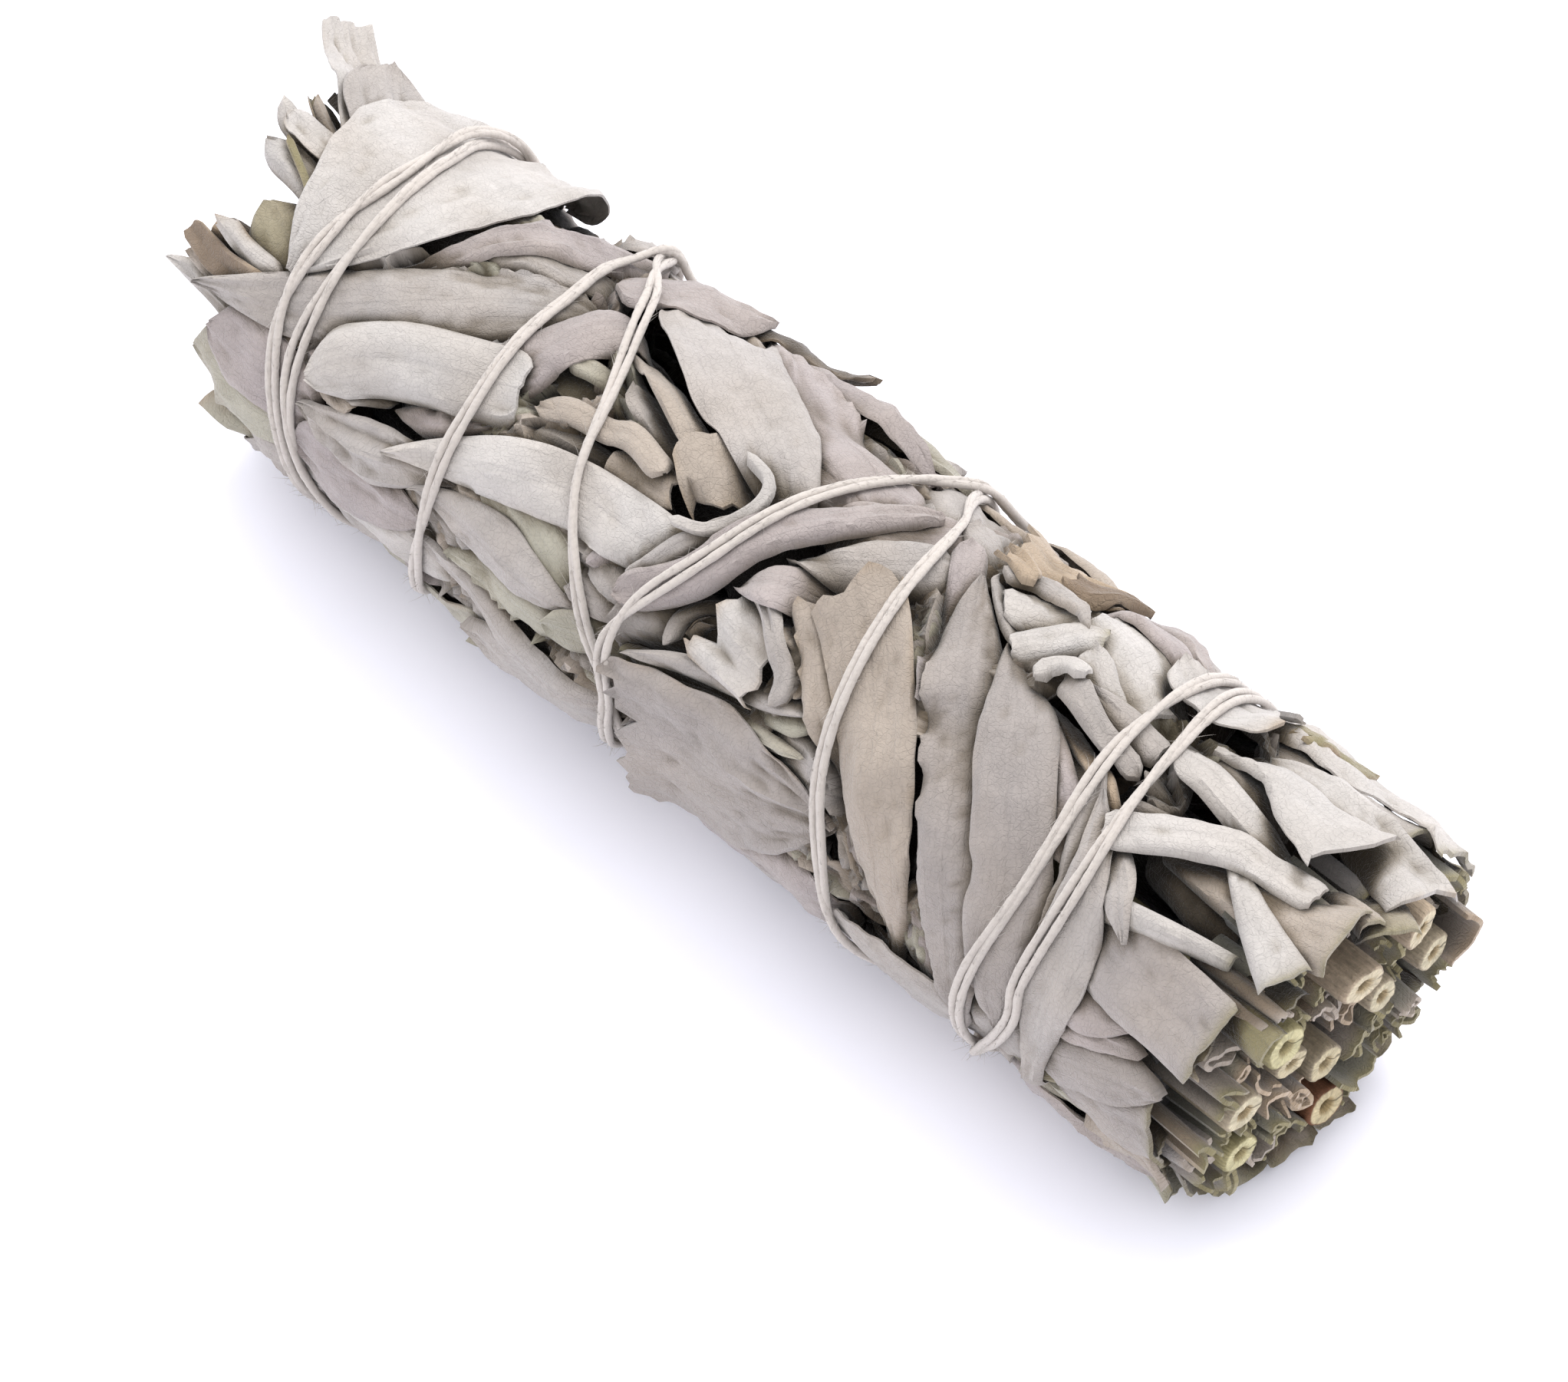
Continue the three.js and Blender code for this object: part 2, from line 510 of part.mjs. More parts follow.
// The string's centreline, taut over the leaves. Where two turns cross, the later one passes over the
// earlier.
function stringCentres(relief) {
  const CROSSING_REACH = 2; // mm along the bunch
  const places = WINDINGS.map(({ turn, x }) => {
    const heights = [-0.6, -0.3, 0, 0.3, 0.6].flatMap((turnShare) =>
      [-1, 0, 1].map((side) => {
        const angle = turn + turnShare * STRING_STEP;
        const beside = x + side * STRING_RADIUS;
        return relief.at(beside, angle) - tieDepth(beside, angle);
      }),
    );
    return { turn, x, r: Math.max(...heights) + GAP + STRING_RADIUS, lifted: false };
  });
  places.forEach((p, i) => {
    for (const q of places.slice(0, Math.max(0, i - 4))) {
      const apart = ((p.turn - q.turn + 180) % 360) - 180;
      if (Math.abs(apart) >= STRING_STEP || Math.abs(p.x - q.x) > CROSSING_REACH) continue;
      p.r = Math.max(p.r, q.r + 1.5 * STRING_RADIUS);
      p.lifted = true;
    }
  });
  return places.map((p, i) => {
    const before = places[Math.max(0, i - 1)].r;
    const after = places[Math.min(places.length - 1, i + 1)].r;
    const taut = Math.max((before + 2 * p.r + after) / 4, p.lifted ? p.r : 0);
    const downward = -Math.cos(p.turn * DEG);
    const overGround = downward > 0.5 ? (AXIS_PLACE.z - STRING_RADIUS - 0.05) / downward : Infinity;
    const r = Math.min(taut, radiusAt(p.x) + STRING_RISE, overGround);
    return { turn: p.turn, centre: pointAt(p.x, p.turn, r), out: pointAt(0, p.turn, 1) };
  });
}

// The string as a tube, made in lengths of one turn that are joined, so that it is one body where it crosses
// itself, with the knot of its two ends.
function stringSolid(centres, radius) {
  const PER_LENGTH = Math.round(360 / STRING_STEP);
  const rings = centres.map(({ centre, out }, i) => {
    const from = centres[Math.max(0, i - 1)].centre;
    const to = centres[Math.min(centres.length - 1, i + 1)].centre;
    const across = new THREE.Vector3().crossVectors(out, to.clone().sub(from)).normalize();
    return Array.from({ length: STRING_SIDES }, (_, k) => {
      const at = ((k + 0.5) * 2 * Math.PI) / STRING_SIDES;
      const rise = out.clone().multiplyScalar(radius * Math.cos(at));
      return centre.clone().add(rise).addScaledVector(across, radius * Math.sin(at));
    });
  });
  const lengths = [];
  for (let i = 0; i + 1 < rings.length; i += PER_LENGTH) {
    const stretch = rings.slice(i, i + PER_LENGTH + 1);
    lengths.push(ringSolid(stretch, centres[i].centre, centres[i + stretch.length - 1].centre));
  }
  return join([...lengths, knotSolid(centres, radius - STRING_RADIUS)]);
}

function knotSolid(centres, spare) {
  const tied = centres.filter(({ turn }) => KNOT_TURNS.some((place) => Math.abs(turn - place) <= 8));
  const sum = tied.reduce((whole, { centre }) => whole.add(centre), new THREE.Vector3());
  const middle = sum.divideScalar(tied.length);
  const lump = new THREE.IcosahedronGeometry(KNOT_RADIUS + spare, 1);
  return solidOf(lump.translate(middle.x, middle.y, middle.z));
}

// Everything below the surface that the bunch rests on, as one block to cut away.
function groundSolid() {
  const DEPTH = 20;
  const block = new THREE.BoxGeometry(300, 120, DEPTH);
  block.translate(0, 0, -AXIS_PLACE.z - DEPTH / 2);
  return solidOf(block);
}

const MATERIALS = {
  leaf: new THREE.MeshStandardMaterial({ color: 0xc9c4c0, roughness: 0.9, metalness: 0 }),
  stem: new THREE.MeshStandardMaterial({ color: 0xb9a678, roughness: 0.8, metalness: 0 }),
  string: new THREE.MeshStandardMaterial({ color: 0xeae4df, roughness: 0.95, metalness: 0 }),
};

const WINDINGS = windingPlaces();
const random = randomSource(RANDOM_SEED);
const relief = new Relief();
const leafGrids = [...backLeaves(random), ...LAID_LEAVES].map((leaf) => layLeaf(relief, leaf));
const strips = [...endStrips(random, CORE_ENDS[1], 4.5, 15), ...endStrips(random, CORE_ENDS[0], 4.5, 7)];
const centres = stringCentres(relief);

let leafMass = join([coreSolid(), ...leafGrids.map(leafSolid), ...strips]);
for (const stem of STEMS) {
  const HOLE_LENGTH = 60;
  const place = stemPlace(stem);
  const hole = new THREE.CylinderGeometry(stem[2] + GAP, stem[2] + GAP, HOLE_LENGTH, STEM_SIDES);
  hole.rotateZ(-Math.PI / 2).translate(place.x - GAP + HOLE_LENGTH / 2, place.y, place.z);
  leafMass = leafMass.subtract(solidOf(hole));
}
leafMass = leafMass.subtract(stringSolid(centres, STRING_RADIUS + GAP)).subtract(groundSolid());

const bunch = new THREE.Group();
bunch.position.copy(AXIS_PLACE);

function addPiece(name, geometry, material, place = new THREE.Vector3()) {
  geometry.computeVertexNormals();
  const mesh = new THREE.Mesh(geometry, material);
  mesh.name = name;
  mesh.position.copy(place);
  bunch.add(mesh);
}

addPiece("leaves", bodyGeometry(leafMass), MATERIALS.leaf);
addPiece("string", bodyGeometry(stringSolid(centres, STRING_RADIUS)), MATERIALS.string);
STEMS.forEach((stem, i) => {
  addPiece(`stem_${String(i + 1).padStart(2, "0")}`, stemGeometry(stem[2]), MATERIALS.stem, stemPlace(stem));
});

export default bunch;
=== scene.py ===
"""The looks of a bunch of dried white sage bound with cotton string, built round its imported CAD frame.

Lengths are in millimetres until a mesh is made. A place on the bunch is (x, angle): x runs along its axis
from the middle towards the cut end, and the angle, in degrees, turns from the top (0) over the front (-Y,
90) to the underside (180). A height is a distance from the axis. Leaves are laid one after another: each
rests on what lies under it and raises the relief, so that the next one rests on it. Then the string draws
them in.
"""
import math
from itertools import product
from typing import NamedTuple

import bpy
import numpy as np
from mathutils import Matrix, Vector


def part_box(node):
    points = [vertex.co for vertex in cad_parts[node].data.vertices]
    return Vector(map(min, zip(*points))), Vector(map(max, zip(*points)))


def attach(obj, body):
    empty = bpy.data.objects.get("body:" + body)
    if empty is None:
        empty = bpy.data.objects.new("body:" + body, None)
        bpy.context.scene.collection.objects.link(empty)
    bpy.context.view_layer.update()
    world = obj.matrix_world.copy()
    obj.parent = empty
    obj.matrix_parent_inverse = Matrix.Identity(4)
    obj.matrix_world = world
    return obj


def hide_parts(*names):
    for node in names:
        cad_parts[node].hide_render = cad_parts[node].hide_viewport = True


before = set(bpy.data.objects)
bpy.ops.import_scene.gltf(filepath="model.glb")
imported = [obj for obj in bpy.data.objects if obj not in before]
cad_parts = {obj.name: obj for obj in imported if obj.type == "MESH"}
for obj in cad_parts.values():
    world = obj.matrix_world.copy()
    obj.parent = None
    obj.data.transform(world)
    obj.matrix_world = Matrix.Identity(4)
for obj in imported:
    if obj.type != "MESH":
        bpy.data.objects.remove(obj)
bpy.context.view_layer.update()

MM = 0.001
SEED = 20240
AXIS = np.array((2.6, 0.1, 19.2))  # the middle of the bunch's axis, in the part's frame
RADIUS = 20.0  # the usual radius of the leaf surface
RADIUS_ALONG = np.array(((-84, 15), (-66, 17), (-50, 19.2), (0, 20), (50, 20.4), (84, 18.6)))
ARC = math.radians(RADIUS)  # mm round the bunch for each degree
LAYERS = 2.6  # depth of the leaves over the core
FLOOR_LAYERS = 3.4  # and of those squeezed between the core and the ground
END_LAYERS = 1.4  # and of those that stand out past the core's ends
CORE_ENDS = (-57.0, 61.0)
THINNING = 6  # how far before the core's ends its layers begin to thin out
SHEET = 0.5  # a leaf's thickness
GROUND = 0.03  # the lowest that any leaf reaches above the ground
SPOT = 50.0  # mm of surface for each unit of the surface map

# Colours as they look (sRGB)
TINTS = {
    "grey": (155, 149, 145),
    "lilac": (149, 140, 138),
    # painted shade: a darker copy of lilac and grey, for leaves that lie in shade
    "dusk": (144, 137, 133),
    "white": (174, 169, 165),
    "green": (152, 148, 134),
    "beige": (154, 143, 132),
    "tan": (156, 138, 117),
    "khaki": (138, 130, 108),
    "brown": (104, 87, 70),
    "olive": (126, 118, 88),
    # painted shade: a near-black tint for a leaf that lies in shadow
    "dark": (62, 54, 45),
    "cotton": (181, 173, 166),
}


def linear(name):
    """A tint in linear light."""
    share = np.array(TINTS[name]) / 255
    return np.where(share <= 0.04045, share / 12.92, ((share + 0.055) / 1.055) ** 2.4)


# ---------------------------------------------------------------- places and heights


def radius_at(x):
    return np.interp(x, RADIUS_ALONG[:, 0], RADIUS_ALONG[:, 1])


def place(x, angle, height):
    """Points in the part's frame, in mm."""
    turn = np.radians(angle)
    return np.stack((x + 0 * turn, -height * np.sin(turn), height * np.cos(turn)), axis=-1) + AXIS


def turn_apart(angle, other):
    """The turn from one angle to another, in degrees from -180 to 180."""
    return (angle - other + 180) % 360 - 180


def over_ground(angle, gap):
    """The heights that are a gap over the ground, on the lower side. Elsewhere they are too great to count."""
    down = -np.cos(np.radians(angle))
    return (AXIS[2] - gap) / np.maximum(down, 0.3)


def unit(vectors):
    return vectors / np.linalg.norm(vectors, axis=-1, keepdims=True)


def travelled(points):
    """The distance along a line of points."""
    steps = np.linalg.norm(np.diff(points, axis=0), axis=1)
    return np.concatenate(((0,), np.cumsum(steps)))


# Hollows between the leaves, which show dark: x, angle, reach along x, reach round the bunch, depth
HOLLOWS = (
    (-27.6, 21, 2.8, 2.2, 9),
    (-24, -18, 1.4, 1, 5),
    (-39.5, -47, 2.2, 2.8, 8),
    (-44.5, 61, 2.6, 1.8, 6),
    (-41.5, 68, 4, 0.8, 4),
    (-16, -55, 3, 2, 4),
    (0, -16, 3, 0.6, 4),
    (-4.2, 22, 1.2, 1, 4),
    (-1.8, 41, 1, 0.8, 4),
    (2.4, 48, 1.6, 1.6, 6),
    (7, 14, 3, 0.8, 4),
    (28.5, 56, 1.4, 8, 6),
    (34.2, 0, 0.8, 0.9, 3),
    (45, 9, 1, 1.2, 3),
    (51, 30, 3.4, 2.6, 10),
    (57, 29, 3.6, 2.2, 10),
    (62.5, 27, 3, 2, 10),
    (66.5, -5, 3, 2.4, 8),
    (55.5, -11, 2, 1.4, 6),
    (53, 70, 3, 2, 5),
)


def hollow_depth(x, angle):
    """How far the hollows reach into the core at a place."""
    depth = 0 * (x + angle)
    for hollow_x, hollow_angle, along, around, most in HOLLOWS:
        far = ((x - hollow_x) / along) ** 2 + (turn_apart(angle, hollow_angle) * ARC / around) ** 2
        depth = np.maximum(depth, most * np.exp(-far))
    return depth


def core_radius(x, angle):
    """The height of the bunch under its outer leaves. It is flat over the ground."""
    past_end = np.maximum(CORE_ENDS[0] - x, x - CORE_ENDS[1])
    layers = END_LAYERS + (LAYERS - END_LAYERS) * np.clip(-past_end / THINNING, 0, 1)
    height = np.minimum(radius_at(x) - layers, over_ground(angle, FLOOR_LAYERS))
    return height - hollow_depth(x, angle)


class Relief:
    """The height of what has been laid so far, on a grid over the bunch."""

    LOW, HIGH, STEP = -92.0, 92.0, 0.25  # along the axis, in mm
    TURN = 0.75  # degrees

    def __init__(self):
        self.x = np.arange(self.LOW, self.HIGH + self.STEP / 2, self.STEP)
        self.angle = np.arange(0, 360, self.TURN)
        self.height = core_radius(self.x[:, None], self.angle[None, :])

    def cells(self, x, angle):
        i = np.clip(np.rint((x - self.LOW) / self.STEP).astype(int), 0, len(self.x) - 1)
        k = np.rint(angle / self.TURN).astype(int) % len(self.angle)
        return i, k

    def highest_near(self, x, angle):
        """The greatest height in the cells round each place."""
        i, k = self.cells(x, angle)
        near = [
            self.height[np.clip(i + di, 0, len(self.x) - 1), (k + dk) % len(self.angle)]
            for di, dk in product((-1, 0, 1), repeat=2)
        ]
        return np.max(near, axis=0)

    def raise_to(self, x, angle, height):
        """Raises the cell of each place to a height, where it is lower."""
        np.maximum.at(self.height, self.cells(x, angle), height)

    def sample(self, grid, x, angle):
        """A grid like this one's, read smoothly at any place."""
        across = np.clip((x - self.LOW) / self.STEP, 0, len(self.x) - 1.001)
        around = (angle / self.TURN) % len(self.angle)
        i = across.astype(int)
        k = around.astype(int) % len(self.angle)
        a = across - i
        b = around - around.astype(int)
        after = (k + 1) % len(self.angle)
        low = grid[i, k] * (1 - b) + grid[i, after] * b
        high = grid[i + 1, k] * (1 - b) + grid[i + 1, after] * b
        return low * (1 - a) + high * a

    def blurred(self, grid, reach):
        """The grid blurred over a reach in mm."""
        along = np.fft.fftfreq(len(self.x), self.STEP)
        around = np.fft.fftfreq(len(self.angle), self.TURN * ARC)
        weight = np.exp(-2 * (math.pi * reach) ** 2 * (along[:, None] ** 2 + around[None, :] ** 2))
        return np.real(np.fft.ifft2(np.fft.fft2(grid) * weight))


# ---------------------------------------------------------------- leaves


class Leaf(NamedTuple):
    """One leaf, along a path of places."""

    path: tuple  # (x, angle) from its start to its end
    width: float
    start: str = "round"  # the shapes of its two ends
    end: str = "round"
    curl: tuple | float = 30  # degrees that its edges turn down; below zero, up; a pair is for its two ends
    taut: float = 0.25  # from 0, following what it lies on, to 1, stretched over its hollows
    lean: float = 0  # how much higher its left edge is than its middle, seen along the path
    sunk: float = 0  # how far it is pressed into what lies under it
    lift: tuple = (0, 0)  # how far each end stands off
    groove: float = 0  # depth of the groove along its middle
    pleats: float = 0  # height of folds that run along it
    wave: float = 0.25  # height of its unevenness
    flare: float = 0  # how much wider than its width it has grown at its end, as a share
    tint: str = "grey"
    rim: float = 0.15  # how much its margin has browned


# The kinds of leaf end: over how many widths the leaf narrows towards it, and at most over which share of its
# length; the share of its width that is left at the very end; and how ragged the end is, in mm
END_SHAPES = {
    "point": (3.0, 0.6, 0.04, 0),
    "taper": (4.0, 0.8, 0.4, 0.1),
    "round": (0.55, 0.4, 0.12, 0),
    "blunt": (0.3, 0.3, 0.5, 0.1),
    "tip": (1.7, 0.5, 0.08, 0),
    "stalk": (3.0, 0.7, 0.26, 0),
    "cut": (0.1, 0.1, 0.9, 0.3),
    "torn": (0.15, 0.1, 0.75, 1.1),
    "ragged": (0.15, 0.1, 0.75, 2.2),
}
SLENDER_ENDS = ("point", "taper", "tip", "stalk")
BROKEN_ENDS = ("cut", "torn", "ragged")


def ripple(rng, a, b, size):
    """A smooth random field of about unit height over a and b, with waves of about a size."""
    WAVES = 6
    total = 0
    for _ in range(WAVES):
        way, phase = rng.uniform(0, 2 * math.pi, 2)
        wave = size * rng.uniform(0.5, 1.6)
        total = total + np.sin(2 * math.pi * (a * math.cos(way) + b * math.sin(way)) / wave + phase)
    return total / 2.45


def end_share(kind, distance, width, length):
    """The share of its width that a leaf has at a distance from one end."""
    widths, most, least, _ = END_SHAPES[kind]
    reach = min(widths * width, most * length)
    share = np.clip(distance / reach, 0, 1)
    if kind in SLENDER_ENDS:
        return least + (1 - least) * np.sin(math.pi / 2 * share) ** 0.9
    return least + (1 - least) * np.sqrt(1 - (1 - share) ** 2)


def ragged_edge(rng, kind, v):
    """How far each column of a leaf stops short of its end, in wide bites and small nicks."""
    jag = END_SHAPES[kind][3]
    bites = 1 + ripple(rng, v, 0, 1.1)
    nicks = 1 + ripple(rng, v, 0, 0.4)
    return jag * (0.8 * np.clip(bites, 0, 2) + 0.35 * nicks)


def smooth_path(points):
    """A smooth curve through points, its directions, and the distance along it."""
    SPAN_STEPS = 24
    p = np.array(points, float)
    p = np.vstack((2 * p[0] - p[1], p, 2 * p[-1] - p[-2]))
    t = np.linspace(0, 1, SPAN_STEPS, endpoint=False)[:, None]
    spans = [
        0.5 * (2 * b + (c - a) * t + (2 * a - 5 * b + 4 * c - d) * t**2 + (3 * b - a - 3 * c + d) * t**3)
        for a, b, c, d in zip(p, p[1:], p[2:], p[3:])
    ]
    curve = np.vstack((*spans, p[-2:-1]))
    distance = travelled(curve)
    return curve, unit(np.gradient(curve, distance, axis=0)), distance


def along_rows(values, reach):
    """Values smoothed along the rows, over a reach counted in rows."""
    size = max(1, int(3 * reach))
    weight = np.exp(-0.5 * (np.arange(-size, size + 1) / max(reach, 0.01)) ** 2)
    padded = np.pad(values, size, mode="edge")
    return np.convolve(padded, weight / weight.sum(), mode="valid")


def smoothed(grid):
    """The grid with each value averaged with its neighbours."""
    g = np.pad(grid, 1, mode="edge")
    g = (g[:-2] + 2 * g[1:-1] + g[2:]) / 4
    return (g[:, :-2] + 2 * g[:, 1:-1] + g[:, 2:]) / 4


def stretched(height):
    """The upper hull of a line of heights: the way of a taut strip laid over them."""
    kept = [0]
    for i in range(1, len(height)):
        while len(kept) > 1:
            a, b = kept[-2:]
            if (height[b] - height[a]) * (i - a) > (height[i] - height[a]) * (b - a):
                break
            kept.pop()
        kept.append(i)
    return np.interp(np.arange(len(height)), kept, height[kept])


class Blade(NamedTuple):
    """A leaf spread over the bunch, in rows along its path and columns across it."""

    share: np.ndarray  # the way along it, from 0 to 1, for each row
    v: np.ndarray  # the place across it, from -1 at its right edge to 1, for each column
    along: np.ndarray  # mm from its start
    half: np.ndarray  # half its width there
    length: float
    x: np.ndarray
    angle: np.ndarray
    drop: np.ndarray  # how far its curl takes each place below its middle

    @property
    def across(self):
        """Mm from its middle."""
        return self.v * self.half


class Sheet(NamedTuple):
    """A laid leaf: its blade, the heights of its two faces, and its colours."""

    blade: Blade
    under: np.ndarray
    over: np.ndarray
    colour: np.ndarray


COLUMN_STEP = 0.62  # mm across a leaf
CROWDING = 1.25  # the columns stand closer towards a leaf's edges, as a sine does up to this angle
STRAIGHT = 0.03  # the least curl, in radians, that can be divided by
PROP = 0.65  # how much a leaf is held up by its turned edges
SPINE_SOFT = 3  # mm over which the line along its middle is evened out
PLEAT_TURN = 7  # how closely folds that run along it lie, in radians for half its width
LIFTED = 0.4  # the share of a leaf's length over which its end stands off
CRUMPLE = 0.12  # height of the small unevenness that all leaves have
EDGE_DROOP = 0.3  # how far the very edge bends down
CURLED_UP = 100  # degrees of curl from which a leaf isn't pushed clear of what it lies on
TUCK = 0.3  # how far a leaf in a gap lies under those round the gap
DOME = 3  # and how much higher it may stand in the gap itself


def spread(item, rng, row_step, columns):
    """Spreads a leaf over the bunch, along its path. Without columns, their number follows its width."""
    curve, way, distance = smooth_path([(x, angle * ARC) for x, angle in item.path])
    length = distance[-1]
    rows = int(np.clip(length / row_step, 8, 90))
    columns = columns or int(np.clip(item.width / COLUMN_STEP, 9, 25))
    v = np.sin(np.linspace(-1, 1, columns) * CROWDING) / math.sin(CROWDING)
    begin = ragged_edge(rng, item.start, v)
    finish = ragged_edge(rng, item.end, v)
    share = np.linspace(0, 1, rows)[:, None]
    along = begin + (length - begin - finish) * share
    half = item.width / 2 * end_share(item.start, along, item.width, length)
    half = half * end_share(item.end, length - along, item.width, length)
    half = half * (1 + 0.02 * ripple(rng, along, np.sign(v) * 9, 13)) * (1 + item.flare * share**2)
    first, last = np.broadcast_to(item.curl, 2)
    curl = np.radians(first + (last - first) * share)
    curl = np.where(np.abs(curl) < STRAIGHT, STRAIGHT, curl)
    lateral = half * np.sin(curl * v) / curl
    drop = half * (1 - np.cos(curl * v)) / curl
    centre = [np.interp(along, distance, curve[:, k]) for k in (0, 1)]
    ahead = [np.interp(along, distance, way[:, k]) for k in (0, 1)]
    x = centre[0] - ahead[1] * lateral
    angle = (centre[1] + ahead[0] * lateral) / ARC
    return Blade(share, v, along, half, length, x, angle, drop)


def lie(item, blade, rng, lying_on, row_step):
    """The heights of a leaf that lies on given heights along its middle, with its own bends and folds.

    The tauter it is, the more it rests on the highest of them.
    """
    share, v, along = blade.share, blade.v, blade.along
    resting = lying_on + PROP * blade.drop
    spine = along_rows(np.percentile(resting, 75 + 18 * item.taut, axis=1), SPINE_SOFT / row_step)
    spine = (spine + item.taut * (stretched(spine) - spine))[:, None]
    height = spine - blade.drop + item.lean * v
    height = height + item.lift[0] * np.clip(1 - share / LIFTED, 0, 1) ** 2
    height = height + item.lift[1] * np.clip(1 - (1 - share) / LIFTED, 0, 1) ** 2
    height = height + item.wave * ripple(rng, along * 0.6, v * item.width * 0.8, 8)
    height = height + CRUMPLE * ripple(rng, along * 0.7, v * item.width, 2.6)
    height = height - item.groove * np.exp(-((v / 0.3) ** 2))
    height = height + item.pleats * np.sin(PLEAT_TURN * v + rng.uniform(0, 6) + 0.05 * along)
    return height - EDGE_DROOP * np.clip((np.abs(v) - 0.7) / 0.3, 0, 1) ** 2


def pushed_clear(height, lying_on, taut):
    """A leaf's heights raised smoothly, so that nothing comes through it: the wider, the tauter it is."""
    short = np.maximum(lying_on - height, 0)
    pushed = short
    for _ in range(14 + int(26 * taut)):
        pushed = np.maximum(smoothed(pushed), short)
    return height + pushed


def tucked_in(relief, blade, height, depth):
    """The heights of a leaf in a gap, kept under those round it. The depth tells where the gap is open."""
    open_share = np.clip((relief.sample(depth, blade.x, blade.angle) - 0.6) / 0.8, 0, 1)
    cover = relief.sample(relief.height, blade.x, blade.angle) - SHEET - TUCK
    return np.minimum(height, cover + DOME * open_share)


def lay_leaf(relief, item, rng, row_step, columns, level=None, depth=None):
    """Lays a leaf on the relief, and raises the relief to it.

    A leaf that fills a gap is given the level round the gap and the gap's depth: it lies on the level.
    """
    blade = spread(item, rng, row_step, columns)
    x, angle = blade.x, blade.angle
    in_gap = level is not None
    lying_on = relief.sample(level, x, angle) if in_gap else relief.highest_near(x, angle)
    lying_on = lying_on - item.sunk
    under = lie(item, blade, rng, lying_on, row_step)
    if in_gap:
        under = tucked_in(relief, blade, under, depth)
    elif np.max(item.curl) < CURLED_UP:
        under = pushed_clear(under, lying_on, item.taut)
    over = under + SHEET * (1 - 0.55 * np.abs(blade.v) ** 6)
    raise_under(relief, x, angle, over)
    return Sheet(blade, under, over, leaf_colour(rng, item, blade))


def raise_under(relief, x, angle, over):
    """Raises the relief under a grid of places, filled in closely between them."""
    FILL = 5
    rows, columns = x.shape
    i = np.linspace(0, rows - 1, (rows - 1) * FILL + 1)
    j = np.linspace(0, columns - 1, (columns - 1) * FILL + 1)
    i0 = np.minimum(i.astype(int), rows - 2)
    j0 = np.minimum(j.astype(int), columns - 2)
    a = (i - i0)[:, None]
    b = (j - j0)[None, :]

    def filled(g):
        g0 = g[i0][:, j0] * (1 - b) + g[i0][:, j0 + 1] * b
        g1 = g[i0 + 1][:, j0] * (1 - b) + g[i0 + 1][:, j0 + 1] * b
        return g0 * (1 - a) + g1 * a

    relief.raise_to(filled(x), filled(angle), filled(over))


def leaf_colour(rng, item, blade):
    """The colours over a leaf: its own tint, patches, a browned margin and the edge of a broken end."""
    PATCH, FLECK = 14, 5  # mm
    WARM = 0.28  # the most that a patch is yellowed
    MARGIN = 0.35  # mm
    BROKEN, BROKEN_FADE = 0.3, 0.5  # mm along a broken end: fully coloured, and for each step out
    along, across = blade.along, blade.across
    base = linear(item.tint) * rng.uniform(0.92, 1.02)
    patches = 0.5 + 0.5 * ripple(rng, along, across, PATCH)
    colour = base + (linear("beige") - base) * np.clip(WARM * patches, 0, 1)[..., None]
    margin = np.exp(-np.maximum(blade.half - np.abs(across), 0) / MARGIN)
    flecks = np.clip(0.5 + 0.8 * ripple(rng, along, across, FLECK), 0, 1)
    colour = colour + (linear("tan") * 0.8 - colour) * (item.rim * margin * flecks)[..., None]
    for kind, distance in ((item.start, along), (item.end, blade.length - along)):
        if kind in BROKEN_ENDS:
            edge = linear("olive" if kind == "cut" else "tan")
            near = 0.75 * np.exp(-np.maximum(distance - BROKEN, 0) / BROKEN_FADE)
            colour = colour + (edge * 0.85 - colour) * np.clip(near, 0, 1)[..., None]
    return colour
